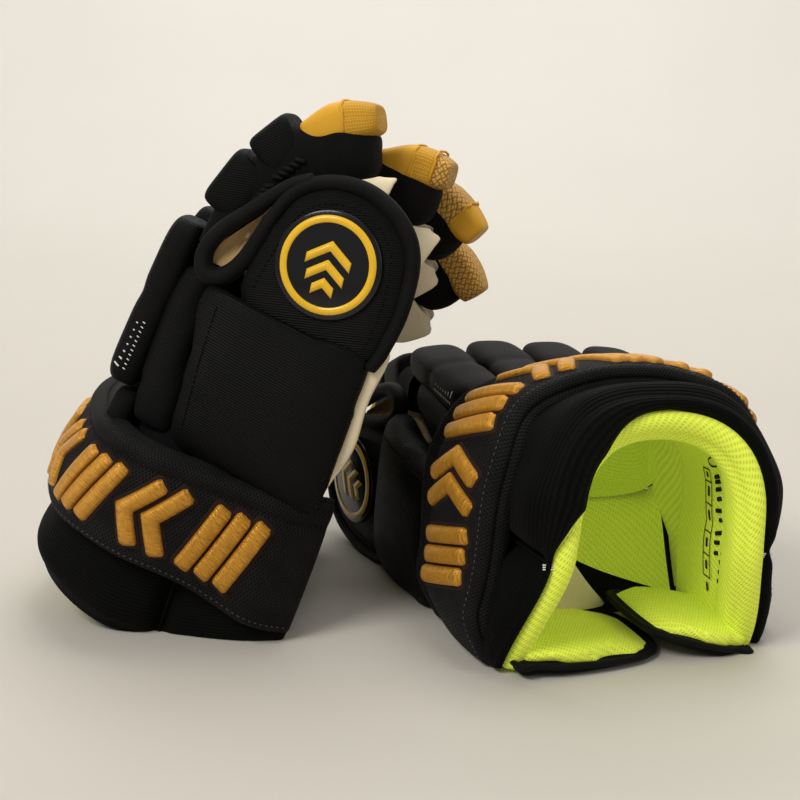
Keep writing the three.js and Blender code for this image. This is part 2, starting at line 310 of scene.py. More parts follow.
class Look:
    """A material being made, with short calls for its nodes."""

    def __init__(self, name, colour, roughness, **sockets):
        self.material = bpy.data.materials.new(name)
        self.material.use_nodes = True
        self.tree = self.material.node_tree
        self.shader = self.tree.nodes["Principled BSDF"]
        self.shader.inputs["Base Color"].default_value = (*colour, 1)
        self.shader.inputs["Roughness"].default_value = roughness
        self.shader.inputs["Specular IOR Level"].default_value = 0.1
        for socket, value in sockets.items():
            self.shader.inputs[socket.replace("_", " ")].default_value = value
        cloth = self.tree.nodes.new("ShaderNodeUVMap")
        cloth.uv_map = UV
        parts = self.tree.nodes.new("ShaderNodeSeparateXYZ")
        self.link(cloth.outputs["UV"], parts.inputs[0])
        self.uv, self.u, self.v = cloth.outputs["UV"], parts.outputs[0], parts.outputs[1]

    def link(self, out, into):
        self.tree.links.new(out, into)

    def put(self, value, into):
        if isinstance(value, (int, float)):
            into.default_value = value
        else:
            self.link(value, into)

    def math(self, operation, a, b=0.0, c=0.0):
        node = self.tree.nodes.new("ShaderNodeMath")
        node.operation = operation
        for value, into in zip((a, b, c), node.inputs):
            self.put(value, into)
        return node.outputs[0]

    def times(self, a, b):
        return self.math("MULTIPLY", a, b)

    def plus(self, a, b):
        return self.math("ADD", a, b)

    def sine(self, along, turns):
        return self.math("SINE", self.times(along, turns))

    def wave(self, along, period):
        """0 to 1 and back, once a period."""
        return self.math("MULTIPLY_ADD", self.sine(along, 2 * math.pi / period), 0.5, 0.5)

    def slant(self, across, along):
        """A coordinate that runs along a slanted direction of the cloth."""
        return self.plus(self.times(self.u, across), self.times(self.v, along))

    def noise(self, scale, detail=3.0, stretch=None):
        """Noise over the piece's place in the frame, or over the cloth if stretched."""
        node = self.tree.nodes.new("ShaderNodeTexNoise")
        node.inputs["Scale"].default_value = scale
        node.inputs["Detail"].default_value = detail
        if stretch is None:
            place = self.tree.nodes.new("ShaderNodeTexCoord")
            self.link(place.outputs["Object"], node.inputs["Vector"])
        else:
            scaled = self.tree.nodes.new("ShaderNodeVectorMath")
            scaled.operation = "MULTIPLY"
            scaled.inputs[1].default_value = (*stretch, 1)
            self.link(self.uv, scaled.inputs[0])
            self.link(scaled.outputs[0], node.inputs["Vector"])
        return node.outputs[0]

    def bump(self, *layers):
        """Bumps on bumps: each layer is a height from 0 to 1 and its depth in millimetres."""
        normal = None
        for height, depth in layers:
            node = self.tree.nodes.new("ShaderNodeBump")
            node.inputs["Strength"].default_value = 1
            node.inputs["Distance"].default_value = depth * MM
            self.link(height, node.inputs["Height"])
            if normal is not None:
                self.link(normal, node.inputs["Normal"])
            normal = node.outputs[0]
        self.link(normal, self.shader.inputs["Normal"])

    def tint(self, share, low, high):
        """Colour between two colours by a share from 0 to 1."""
        node = self.tree.nodes.new("ShaderNodeMix")
        node.data_type = "RGBA"
        node.inputs[6].default_value = (*low, 1)
        node.inputs[7].default_value = (*high, 1)
        self.link(share, node.inputs[0])
        self.link(node.outputs[2], self.shader.inputs["Base Color"])

    def gloss(self, share, low, high):
        """Roughness between two values by a share."""
        self.link(self.math("MULTIPLY_ADD", share, high - low, low),
                  self.shader.inputs["Roughness"])


BLACK = (0.0011, 0.0011, 0.0011)
BLACK_LIT = (0.0052, 0.0051, 0.005)


def ribbed_nylon(name, period=1.05, gloss=0.46):
    """Satin nylon with fine ribs across u, as on the side panels."""
    look = Look(name, BLACK, gloss, Sheen_Weight=0.008, Sheen_Roughness=0.4,
                Specular_IOR_Level=0.08)
    ribs = look.wave(look.u, period)
    threads = look.wave(look.v, 0.62)
    cloth = look.times(ribs, look.math("MULTIPLY_ADD", threads, 0.25, 0.75))
    cloud = look.noise(60)
    look.tint(look.math("MULTIPLY_ADD", cloud, 0.5, look.times(cloth, 0.5)), BLACK, BLACK_LIT)
    look.gloss(cloud, gloss - 0.08, gloss + 0.12)
    look.bump((cloth, 0.22), (look.noise(220), 0.05))
    return look.material


def twill(name):
    """Fine diagonal twill over the finger rolls."""
    look = Look(name, BLACK, 0.55, Sheen_Weight=0.01, Sheen_Roughness=0.45, Specular_IOR_Level=0.06)
    lines = look.wave(look.slant(0.8, 0.6), 0.85)
    threads = look.wave(look.slant(-0.6, 0.8), 0.5)
    cloth = look.times(lines, look.math("MULTIPLY_ADD", threads, 0.35, 0.65))
    look.tint(look.math("MULTIPLY_ADD", look.noise(70), 0.5, look.times(cloth, 0.4)),
              BLACK, BLACK_LIT)
    look.bump((cloth, 0.12), (look.noise(150), 0.08))
    return look.material


def mesh_knit(name):
    """The band's knit, with small round hollows in staggered rows."""
    look = Look(name, BLACK, 0.72, Sheen_Weight=0.015, Sheen_Roughness=0.5)
    a = look.wave(look.slant(1, 0.58), 1.5)
    b = look.wave(look.slant(-1, 0.58), 1.5)
    cloth = look.math("SUBTRACT", 1.0, look.times(a, b))
    look.tint(look.times(look.math("POWER", cloth, 1.5), look.noise(90)), (0.001, 0.001, 0.001),
              (0.014, 0.0137, 0.0133))
    look.bump((cloth, 0.42), (look.noise(120), 0.1))
    return look.material


def skirt_knit(name):
    """The cuff's outer knit, with ribs that follow the rim."""
    look = Look(name, BLACK, 0.78, Sheen_Weight=0.01, Sheen_Roughness=0.5, Specular_IOR_Level=0.06)
    ribs = look.wave(look.v, 1.45)
    loops = look.wave(look.u, 0.9)
    cloth = look.times(ribs, look.math("MULTIPLY_ADD", loops, 0.3, 0.7))
    look.tint(look.times(cloth, look.noise(80)), (0.001, 0.001, 0.001), (0.0055, 0.0055, 0.005))
    look.bump((cloth, 0.28), (look.noise(90), 0.12))
    return look.material


def jersey(name):
    """Soft stretch jersey on the fingers' sides: tiny columns of loops."""
    look = Look(name, BLACK, 0.85, Sheen_Weight=0.02, Sheen_Roughness=0.5)
    columns = look.wave(look.u, 0.75)
    rows = look.wave(look.plus(look.v, look.times(columns, 0.35)), 0.6)
    cloth = look.times(columns, rows)
    look.tint(look.times(look.noise(110), 0.9), (0.001, 0.001, 0.001), (0.0055, 0.0055, 0.0055))
    look.bump((cloth, 0.14), (look.noise(60), 0.35))
    return look.material


def binding(name):
    """Woven tape round piping and edges."""
    look = Look(name, BLACK, 0.6, Sheen_Weight=0.015, Sheen_Roughness=0.45)
    a = look.wave(look.slant(1, 1), 0.8)
    b = look.wave(look.slant(1, -1), 0.8)
    cloth = look.math("MAXIMUM", a, b)
    look.tint(look.times(look.noise(130), 0.8), (0.001, 0.001, 0.001), (0.006, 0.006, 0.006))
    look.bump((cloth, 0.1), (look.noise(100), 0.15))
    return look.material


def plain_lining_and_shade(name):
    # plain black lining, for the flaps' black pads and for the sheet under the wrist, whose bare
    # wedge is painted shade
    look = Look(name, (0.006, 0.006, 0.0065), 0.8, Sheen_Weight=0.015)
    cloth = look.times(look.wave(look.u, 0.9), look.wave(look.v, 0.9))
    look.tint(look.noise(90), (0.001, 0.001, 0.001), (0.0045, 0.0045, 0.0045))
    look.bump((cloth, 0.12), (look.noise(70), 0.2))
    return look.material


def suede(name, colour=(0.80, 0.68, 0.46)):
    """Napped leather, with soft patches where the nap lies differently."""
    look = Look(name, colour, 0.88, Sheen_Weight=0.15, Sheen_Roughness=0.55)
    dark = tuple(0.72 * c for c in colour)
    look.tint(look.math("MULTIPLY_ADD", look.noise(45, 6), 0.7, look.times(look.noise(900), 0.3)),
              dark, colour)
    look.bump((look.noise(1400, 4), 0.12), (look.noise(160, 5), 0.3))
    return look.material


def gold_leather(name):
    """Smooth coated leather with a faint grain."""
    look = Look(name, (0.60, 0.31, 0.03), 0.55)
    cloud = look.noise(70, 4)
    look.tint(cloud, (0.54, 0.27, 0.018), (0.68, 0.36, 0.035))
    look.gloss(cloud, 0.42, 0.6)
    look.bump((look.noise(900, 3), 0.05), (look.noise(120), 0.12))
    return look.material


def gold_ripstop(name):
    """Gold nylon with a small square grid."""
    look = Look(name, (0.52, 0.28, 0.05), 0.55, Sheen_Weight=0.015)
    a = look.wave(look.u, 1.0)
    b = look.wave(look.v, 1.0)
    cloth = look.math("MAXIMUM", look.math("POWER", a, 3.0), look.math("POWER", b, 3.0))
    look.tint(look.math("MULTIPLY_ADD", cloth, 0.6, look.times(look.noise(80), 0.4)),
              (0.42, 0.20, 0.014), (0.68, 0.37, 0.04))
    look.bump((cloth, 0.14), (look.noise(130), 0.12))
    return look.material


def gold_basket(name):
    """Coarse gold basket weave: thick threads over and under, on the slant."""
    look = Look(name, (0.5, 0.3, 0.09), 0.5, Sheen_Weight=0.02)
    a = look.slant(0.71, 0.71)
    b = look.slant(-0.71, 0.71)
    size = 1.9
    half_turn = math.pi / size
    over = look.math("GREATER_THAN", look.times(look.sine(a, half_turn), look.sine(b, half_turn)),
                     0.0)
    up, down = (look.times(look.math("ABSOLUTE", look.sine(across, half_turn)),
                           look.math("MULTIPLY_ADD",
                                     look.math("ABSOLUTE", look.sine(along, 2 * half_turn)),
                                     0.4, 0.6))
                for across, along in ((b, a), (a, b)))
    cloth = look.plus(look.times(over, up),
                      look.times(look.math("SUBTRACT", 1.0, over), down))
    look.tint(look.math("MULTIPLY_ADD", look.noise(60), 0.25, look.times(cloth, 0.8)),
              (0.16, 0.07, 0.010), (0.78, 0.44, 0.10))
    look.bump((cloth, 0.45), (look.noise(400), 0.08))
    return look.material


def lime_mesh(name):
    """Bright spacer mesh: slanted rows of small dimples, with a little painted glow (emission) that
    brightens it.
    """
    look = Look(name, (0.80, 0.93, 0.06), 0.75, Sheen_Weight=0.02, Sheen_Roughness=0.5,
                Emission_Color=(0.66, 0.80, 0.09, 1), Emission_Strength=0.13)
    a = look.wave(look.slant(0.5, 0.87), 1.15)
    b = look.wave(look.slant(-0.87, 0.5), 2.3)
    cloth = look.math("SUBTRACT", 1.0, look.times(look.math("POWER", a, 1.5), b))
    look.tint(look.math("MULTIPLY_ADD", cloth, 0.75, look.times(look.noise(50), 0.25)),
              (0.52, 0.64, 0.04), (0.78, 0.87, 0.085))
    look.bump((cloth, 0.3), (look.noise(45), 0.5))
    return look.material


def satin_thread(name):
    """Embroidery: fine shiny threads lying across each stroke. Their streaked colour, from dark
    brown to bright gold, is partly thread tone and partly painted shade and painted highlight of
    the satin's sheen.
    """
    look = Look(name, (0.62, 0.28, 0.03), 0.34, Specular_IOR_Level=0.5, Metallic=0.4)
    streaks = look.noise(1.0, 4.0, stretch=(3.4, 0.2))
    fine = look.noise(1.0, 2.0, stretch=(6.0, 0.5))
    look.tint(look.math("MULTIPLY_ADD", look.math("SUBTRACT", streaks, 0.5), 1.5, 0.45),
              (0.24, 0.07, 0.002), (1.0, 0.50, 0.04))
    look.gloss(fine, 0.22, 0.42)
    look.bump((streaks, 0.5), (fine, 0.32))
    return look.material


def outline_thread(name):
    look = Look(name, (0.018, 0.008, 0.006), 0.6, Sheen_Weight=0.02)
    look.bump((look.noise(1.0, 3.0, stretch=(4.0, 0.5)), 0.4), (look.noise(300), 0.1))
    return look.material


def dull_thread(name, grain, dark, light):
    look = Look(name, dark, 0.6, Sheen_Weight=0.02)
    look.tint(look.noise(grain), dark, light)
    look.bump((look.noise(1500), 0.1), (look.noise(300), 0.1))
    return look.material


def printed(name, colour):
    """Flat screen print, slightly worn."""
    look = Look(name, colour, 0.55)
    look.tint(look.noise(700, 4), tuple(0.8 * c for c in colour), colour)
    look.bump((look.noise(900), 0.04), (look.noise(200), 0.04))
    return look.material


def gloss_film(name, colour, roughness):
    """The thumb patch's moulded film, over a fine grid."""
    look = Look(name, colour, roughness, Coat_Weight=0.5, Coat_Roughness=0.12)
    dots = look.times(look.wave(look.u, 1.1), look.wave(look.v, 1.1))
    cloud = look.noise(80, 4)
    look.tint(cloud, tuple(0.75 * c for c in colour), colour)
    look.gloss(cloud, roughness * 0.8, roughness * 1.4)
    look.bump((dots, 0.03), (cloud, 0.15))
    return look.material


def floor_paper(name):
    look = Look(name, (0.505, 0.475, 0.42), 0.7)
    look.tint(look.noise(5, 4), (0.49, 0.461, 0.407), (0.52, 0.489, 0.433))
    look.bump((look.noise(40, 4), 0.2), (look.noise(300), 0.05))
    return look.material


LOOKS = {
    "panel": ribbed_nylon("ribbed_nylon"),
    "fine_panel": ribbed_nylon("fine_ribbed_nylon", period=0.9, gloss=0.52),
    "twill": twill("twill"),
    "band": mesh_knit("mesh_knit"),
    "skirt": skirt_knit("skirt_knit"),
    "jersey": jersey("jersey"),
    "binding": binding("binding"),
    "lining": plain_lining_and_shade("black_lining_and_shade"),
    "suede": suede("suede"),
    "tan": suede("tan_leather", (0.50, 0.33, 0.14)),
    "gold": gold_leather("gold_leather"),
    "ripstop": gold_ripstop("gold_ripstop"),
    "basket": gold_basket("gold_basket"),
    "lime": lime_mesh("lime_mesh"),
    "satin": satin_thread("satin_thread"),
    "outline": outline_thread("outline_thread"),
    "white": dull_thread("white_thread", 900, (0.6, 0.59, 0.56), (0.85, 0.84, 0.8)),
    "grey": dull_thread("grey_thread", 700, (0.02, 0.02, 0.02), (0.11, 0.11, 0.11)),
    "white_print": printed("white_print", (0.72, 0.72, 0.70)),
    "black_print": printed("black_print", (0.012, 0.014, 0.008)),
    "film": gloss_film("gloss_film", (0.005, 0.005, 0.0055), 0.22),
    "gold_film": gloss_film("gold_film", (0.86, 0.50, 0.02), 0.34),
    "plate": printed("moulded_plate", (0.03, 0.03, 0.032)),
}


def finish_piece(piece, body, replaces=()):
    """What every piece says about itself. A piece that spans two bodies rides on neither."""
    if body is not None:
        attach(piece, body)
    if replaces:
        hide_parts(*([replaces] if isinstance(replaces, str) else replaces))


def make(name, shape, axes, look, body, replaces=(), levels=1):
    """A piece with all that it says about itself. Its shape is one grid, a list of grids, or a
    pair of points and faces."""
    if isinstance(shape, tuple):
        piece = add(name, *shape, box_uvs(*shape), axes, LOOKS[look], levels=levels)
    elif isinstance(shape, list):
        piece = several(name, shape, axes, LOOKS[look])
    else:
        piece = surface(name, shape, axes, LOOKS[look], levels=levels)
    finish_piece(piece, body, replaces)
    return piece


# ---- Padded pieces ------------------------------------------------------------------------

def block(size, squareness=4.0, cuts=14):
    """Points and faces of a soft block: a cube's grid pulled onto a superellipsoid."""
    work = bmesh.new()
    bmesh.ops.create_cube(work, size=2)
    bmesh.ops.subdivide_edges(work, edges=work.edges, cuts=cuts, use_grid_fill=True)
    work.verts.ensure_lookup_table()
    points = np.array([v.co for v in work.verts])
    faces = [[v.index for v in f.verts] for f in work.faces]
    work.free()
    points = np.sin(points * np.pi / 4) / math.sin(math.pi / 4)
    length = (np.abs(points) ** squareness).sum(1) ** (1 / squareness)
    return points / length[:, None] * np.array(size) / 2, faces


def pillow(outline, low, high, edge=4.0):
    """Points and faces of a flat pad between y = low and high, with an outline in x and z and
    rounded edges."""
    outline = np.vstack([outline, outline[:1]])
    centre = (outline.min(0) + outline.max(0)) / 2
    shares = np.array([0.02, 0.3, 0.52, 0.7, 0.83, 0.92, 0.97, 0.993, 1.0])
    half = (high - low) / 2
    rows = []
    for side, order in ((1, shares), (-1, shares[-2::-1])):
        for share in order:
            flat = centre + (outline - centre) * share
            y = (low + high) / 2 + side * half * (1 - share ** edge) ** (1 / edge)
            rows.append(np.stack([flat[:, 0], np.full(len(flat), y), flat[:, 1]], 1))
    points = close_ends(np.array(rows))
    return points.reshape(-1, 3), grid(points)[0]


def box_uvs(points, faces):
    """Cloth coordinates of each corner, laid on from the nearest of the six directions."""
    points = np.asarray(points)
    uvs = []
    for face in faces:
        corners = points[face]
        normal = np.abs(np.cross(corners[1] - corners[0], corners[2] - corners[0]))
        pair = ((2, 1), (0, 2), (0, 1))[int(np.argmax(normal))]
        uvs.append(corners[:, pair])
    return np.concatenate(uvs)


CLOTH = {"voxel": 4.5, "pressure": 4.0, "frames": 20}


def inflated(points, faces, cap):
    """The shape blown up as cloth, in millimetres: voxel remesh, pressure, no gravity. No point
    moves further than cap, so the start is a little smaller than the pad."""
    mesh = bpy.data.meshes.new("pattern")
    mesh.from_pydata((np.asarray(points) * MM).tolist(), [], faces)
    weld(mesh, 1e-5)
    pad = bpy.data.objects.new("pattern", mesh)
    bpy.context.scene.collection.objects.link(pad)
    remesh = pad.modifiers.new("remesh", "REMESH")
    remesh.mode = "VOXEL"
    remesh.voxel_size = CLOTH["voxel"] * MM
    applied(pad)
    start = np.array([v.co for v in pad.data.vertices])
    cloth = pad.modifiers.new("cloth", "CLOTH")
    for setting, value in (("quality", 5), ("mass", 0.3), ("tension_stiffness", 25),
                           ("compression_stiffness", 20), ("shear_stiffness", 10),
                           ("bending_stiffness", 0.6), ("use_pressure", True),
                           ("uniform_pressure_force", CLOTH["pressure"])):
        setattr(cloth.settings, setting, value)
    cloth.settings.effector_weights.gravity = 0
    cloth.collision_settings.use_collision = False
    cloth.point_cache.frame_start = 1
    cloth.point_cache.frame_end = CLOTH["frames"]
    scene = bpy.context.scene
    for step in range(1, CLOTH["frames"] + 1):
        scene.frame_set(step)
    shape = pad.evaluated_get(bpy.context.evaluated_depsgraph_get())
    end = np.array([v.co for v in shape.data.vertices])
    scene.frame_set(1)
    pad.modifiers.clear()
    move = end - start
    move -= move.mean(0)
    reach = np.linalg.norm(move, axis=1, keepdims=True)
    move *= np.minimum(1, cap * MM / np.maximum(reach, 1e-9))
    result = (start + move) / MM
    result_faces = [list(f.vertices) for f in pad.data.polygons]
    bpy.data.objects.remove(pad)
    return result, result_faces


def between_sheets(top, bottom):
    """Closed grid of a thin sheet from the grids of its two faces."""
    return close_ends(np.concatenate([top, bottom[:, ::-1], top[:, :1]], 1))


def close_ends(points):
    """Closes a looped section at both ends with flat caps."""
    ends = []
    for k in (0, -1):
        centre = points[k, :-1].mean(0)
        ends.append(np.broadcast_to(centre, (1,) + points.shape[1:]))
    return np.concatenate([ends[0], points, ends[1]])


def applied(piece):
    """Bakes a piece's modifiers into its mesh."""
    shape = piece.evaluated_get(bpy.context.evaluated_depsgraph_get())
    mesh = bpy.data.meshes.new_from_object(shape)
    piece.modifiers.clear()
    piece.data = mesh


def tree_of(points, faces):
    return BVHTree.FromPolygons([Vector(p) for p in points], [tuple(f) for f in faces])


def on_surface(tree, path, direction, lift):
    """Drops a path onto a shape along a direction. Gives the places and their normals."""
    direction = Vector(direction).normalized()
    places, normals = [], []
    for point in path:
        hit, normal, _, _ = tree.ray_cast(Vector(point) - direction * 60, direction)
        if hit is None:
            hit, normal, _, _ = tree.find_nearest(Vector(point))
        if normal.dot(direction) > 0:
            normal = -normal
        places.append(hit + normal * lift)
        normals.append(normal)
    return np.array(places), np.array(normals)


def eased(values):
    for _ in range(3):
        values = values.copy()
        values[1:-1] = (values[:-2] + 2 * values[1:-1] + values[2:]) / 4
    return values


def stitched_on(shape, line, length, gap, radius, lift=0.0):
    """Stitches along a line laid on a pad's outer side."""
    path, normals = on_surface(tree_of(*shape), line, (0, -1, 0), lift)
    return dashes(eased(path), unit(eased(normals)), length, gap, radius)


# ---- Cuff ---------------------------------------------------------------------------------

def arch(share, outside, along):
    """The cuff's arch, as in the CAD, for arrays. Share 0 is the thumb-side corner, 1 the other."""
    share, outside, along = np.broadcast_arrays(*(np.asarray(a, float)
                                                  for a in (share, outside, along)))
    side = 0.19
    half = mix(*CUFF["half_width"], along) + outside
    near = np.minimum(share, 1 - share)
    sign = np.where(share > 0.5, -1, 1)
    up = np.clip(near / side, 0, 1)
    straight_y = mix(CUFF["corner"] + outside, half, smooth(up, 0, 1))
    straight_z = mix(CUFF["bottom"], CUFF["centre"] - 4, up)
    angle = np.pi * np.clip(near - side, 0, 1) / (1 - 2 * side)
    rise = mix(*CUFF["rise"], along) + outside
    round_y = half * power(np.cos(angle), 0.8)
    round_z = CUFF["centre"] + rise * power(np.sin(angle), 0.8)
    blend = smooth(near, side - 0.035, side + 0.035)
    y = mix(straight_y, round_y, blend)
    z = mix(straight_z, round_z, blend)
    return np.stack([sign * y, z], -1)


def rim_set_back(share):
    near = np.minimum(share, 1 - share)
    corner = RIM["corner"] * np.clip(1 - near / PLEAT, 0, 1) ** 1.3
    return np.where(near < PLEAT, corner, RIM["back"] * smooth(near, PLEAT, 0.5))


def cuff_point(share, outside, x):
    """A place on the cuff. Shares below 0 or above 1 turn the corner under the cuff, through
    1000 degrees a unit."""
    share, outside, x = np.broadcast_arrays(*(np.asarray(a, float) for a in (share, outside, x)))
    along = (x - RIM["start"]) / (CUFF_END - RIM["start"])
    flat = arch(np.clip(share, 0, 1), outside, along)
    beyond = np.radians(1000 * np.maximum(0, np.maximum(-share, share - 1)))
    radius = np.maximum(outside - 5, 0)
    inward = -np.sign(flat[..., 0]) * radius * (1 - np.cos(beyond))
    turned = flat + np.stack([inward, -radius * np.sin(beyond)], -1)
    return np.concatenate([x[..., None], turned], -1)


def pleat_dent(share):
    return bell(share, PLEAT, 0.009) + bell(share, 1 - PLEAT, 0.009)


def puff(share, seams):
    """1 in the middle between neighbouring seams and 0 on them."""
    height = np.zeros_like(share)
    for low, high in zip(seams[:-1], seams[1:]):
        inside = (share >= low) & (share <= high)
        t = np.clip((share - low) / (high - low), 0, 1)
        height = np.where(inside, np.sin(np.pi * t) ** 0.45, height)
    return height


def rim_wrap(share):
    """How far the outer fabric folds over the rim's front, in millimetres."""
    return 0.6 + 10.5 * smooth(share, 0.175, 0.24) * (1 - smooth(share, 0.36, 0.52))


def cuff_skirt(side):
    """The outer fabric between the band and the rim, folded round the rim's edge."""
    share = np.linspace(0, 1, 170)[:, None]
    wrap = rim_wrap(share)
    rim = RIM["start"] - 0.4 + rim_set_back(share) - 1.4 * wrap / 11
    outer_t = np.array([0.0, 0.02, 0.05, 0.09, 0.14, 0.2, 0.27, 0.34, 0.42, 0.5, 0.7, 0.98])[None]
    free = smooth(outer_t, -0.04, 0.08) * (1 - smooth(outer_t, 0.34, 0.5))
    seams = [0, PLEAT, 1 - PLEAT, 1]
    flare = 4.5 * (bell(share, 0.215, 0.05) + bell(share, 0.785, 0.05))
    flare = (flare + 3.5 * bell(share, 0.5, 0.2)) * (1 - outer_t) ** 2
    swell = 5.6 * puff(share, seams) - 0.6 - 6.5 * pleat_dent(share) + flare
    ripple = 0.4 * np.sin(34 * share + 9 * outer_t)
    high = SHELL_OUT + (swell + ripple) * free
    reach = CUFF_END + 5 - rim
    outer = np.stack([rim + reach * outer_t + 0 * share, high], -1)
    low = SHELL_IN - wrap
    turns = np.linspace(np.pi / 2, -np.pi / 2, 11)[None]
    middle, half = (high[:, :1] + low) / 2, (high[:, :1] - low) / 2
    bow = np.minimum(half, 4.2)
    edge = np.stack([rim - bow * np.cos(turns), middle + half * np.sin(turns)], -1)
    back = np.stack([np.concatenate([rim + 1.5, rim + 4, rim + 12, rim + reach * 0.98], 1),
                     np.concatenate([low + 0.2, low + wrap * 0.5 + 0.6, SHELL_IN + 0 * rim,
                                     SHELL_IN + 0 * rim], 1)], -1)
    loop = np.concatenate([outer[:, ::-1], edge[:, 1:], back, outer[:, -1:]], 1)
    points = cuff_point(share, loop[..., 1], loop[..., 0])
    make(f"{side}_cuff_skirt", close_ends(points), glove_axes(side, "cuff"), "skirt",
         f"{side}_cuff", f"{side}_cuff_shell")


def liner_inside(share, t):
    """How far the foam lining stands in from its seams: thick at the rim, puffed between seams."""
    seams = [0, PLEAT, 0.37, 0.66, 1 - PLEAT, 1]
    rim_roll = (0.35 * rim_wrap(share) + 6.2) * (1 - smooth(t, 0.06, 0.36)) * smooth(t, -0.05, 0.04)
    channel = 2.2 * bell(t, 0.36, 0.03) * smooth(share, 0.3, 0.4)
    return 0.8 - rim_roll - 2.2 * puff(share, seams) * smooth(t, 0.05, 0.3) + channel


def liner_rim(share):
    return RIM["start"] + 0.2 + rim_set_back(share) + 2.6 * smooth(rim_wrap(share), 1, 9)


def cuff_lining(side):
    """The bright foam lining, rolled over the rim."""
    share = np.linspace(0, 1, 170)[:, None]
    wrap = rim_wrap(share)
    rim = liner_rim(share)
    length = CUFF_END - 3 - rim
    depths = np.array([0.97, 0.85, 0.7, 0.55, 0.45, 0.38, 0.33, 0.3, 0.27, 0.24, 0.2, 0.16, 0.12,
                       0.08, 0.05, 0.025, 0.0])[None]
    inner = np.stack([rim + length * depths, liner_inside(share, depths)], -1)
    high = 6.0 - wrap * 0.55
    low = inner[:, -1:, 1]
    turns = np.linspace(-np.pi / 2, np.pi / 2, 11)[None]
    middle, half = (high + low) / 2, (high - low) / 2
    edge = np.stack([rim - np.minimum(half, 4.6) * np.cos(turns),
                     middle + half * np.sin(turns)], -1)
    back = np.stack([np.concatenate([rim + 3, rim + 9, rim + length * 0.97], 1),
                     np.concatenate([high, 6.0 + 0 * rim, 6.0 + 0 * rim], 1)], -1)
    loop = np.concatenate([inner, edge[:, 1:], back, inner[:, :1]], 1)
    points = cuff_point(share, loop[..., 1], loop[..., 0])
    make(f"{side}_cuff_lining", close_ends(points), glove_axes(side, "cuff"), "lime",
         f"{side}_cuff", f"{side}_cuff_liner")


BAND_FROM, BAND_TO = -0.018, 1.018


def band_top(x):
    """Distance of the band's outer face outside the arch at each x."""
    t = (x - BAND["start"]) / (BAND["end"] - BAND["start"])
    crown = BAND["bulge"] * np.sin(np.pi * np.clip(t, 0, 1)) ** 0.7
    groove = 1.2 * bell(x, BAND["end"] - 8.5, 1.5)
    roll = 1.8 * bell(x, BAND["end"] - 3.5, 3.4)
    return BAND["inside"] + BAND["thick"] + crown + roll - 0.8 - groove


BAND_WIDER = {"right": (8, 10), "left": (9, 0)}  # at the cuff's corners and shoulders


def band_x(side, share, x):
    """The band is pushed towards the rim by different amounts round the two cuffs."""
    near = np.minimum(share, 1 - share)
    corner, shoulder = BAND_WIDER[side]
    wider = corner * (1 - smooth(near, 0.02, 0.22)) - 3 * smooth(near, 0.2, 0.35)
    wider = wider + shoulder * bell(share, 0.24, 0.11)
    return x - wider * (BAND["end"] - x) / (BAND["end"] - BAND["start"])


def band_point(side, share, outside, x):
    """A place on the band, which hugs the corners more closely."""
    near = np.minimum(share, 1 - share)
    snug = 11.5 * (1 - smooth(near, -0.02, 0.085))
    return cuff_point(share, outside - snug, band_x(side, share, x))


def cuff_band(side):
    """The thick padded band round the cuff, with a rolled edge along the wrist."""
    share = np.concatenate([np.linspace(BAND_FROM, 0.08, 24)[:-1], np.linspace(0.08, 0.92, 120),
                            np.linspace(0.92, BAND_TO, 24)[1:]])
    middle, half = (BAND["start"] + BAND["end"]) / 2, (BAND["end"] - BAND["start"]) / 2
    top = np.linspace(-1, 1, 44)
    top_x = middle + half * power(top, 0.9) * 0.985
    turns = np.linspace(0, np.pi, 9)[1:-1]
    low, start_x, end_x = BAND["inside"], BAND["start"], BAND["end"]
    high = band_top(top_x) - 3.2 * np.clip(np.abs(top) - 0.9, 0, 1) ** 2 * 100
    profile = list(zip(top_x, high))
    profile += [(end_x - 3 + 3 * math.sin(a), mix(high[-1], low + 1, (1 - math.cos(a)) / 2))
                for a in turns]
    profile += [(x, low) for x in np.linspace(end_x - 3, start_x + 3, 8)]
    profile += [(start_x + 3 - 3 * math.sin(a), mix(low + 1, high[0], (1 - math.cos(a)) / 2))
                for a in turns]
    profile = np.array(profile + profile[:1])
    near = np.minimum(share - BAND_FROM, BAND_TO - share)[:, None]
    taper = np.sqrt(np.clip(near / 0.022, 0, 1))
    centre = low + 4
    outside = centre + (profile[:, 1][None] - centre) * (0.3 + 0.7 * taper)
    x = middle + (profile[:, 0][None] - middle) * (0.94 + 0.06 * taper)
    outer = outside > centre
    wave = 0.5 * np.sin(share * 41)[:, None] * outer
    points = band_point(side, share[:, None], outside + wave, x)
    make(f"{side}_cuff_band", close_ends(points), glove_axes(side, "cuff"), "band",
         f"{side}_cuff", f"{side}_cuff_roll")


class Wrap:
    """A flat strip of cloth laid on the band: s millimetres along the arch from the thumb side
    at one x, and x across it."""

    def __init__(self, side, outside, at_x):
        self.side, self.outside = side, outside
        self.share = np.linspace(0.0, 1.0, 600)
        path = band_point(side, self.share, outside(np.full(600, float(at_x))), at_x)
        self.reach = distances(path)
        self.length = self.reach[-1]

    def __call__(self, s, x, lift=0.0):
        s, x, lift = np.broadcast_arrays(*(np.asarray(a, float) for a in (s, x, lift)))
        share = np.interp(s, self.reach, self.share)
        wave = 0.5 * np.sin(share * 41)
        return band_point(self.side, share, self.outside(x) + wave + lift, x)


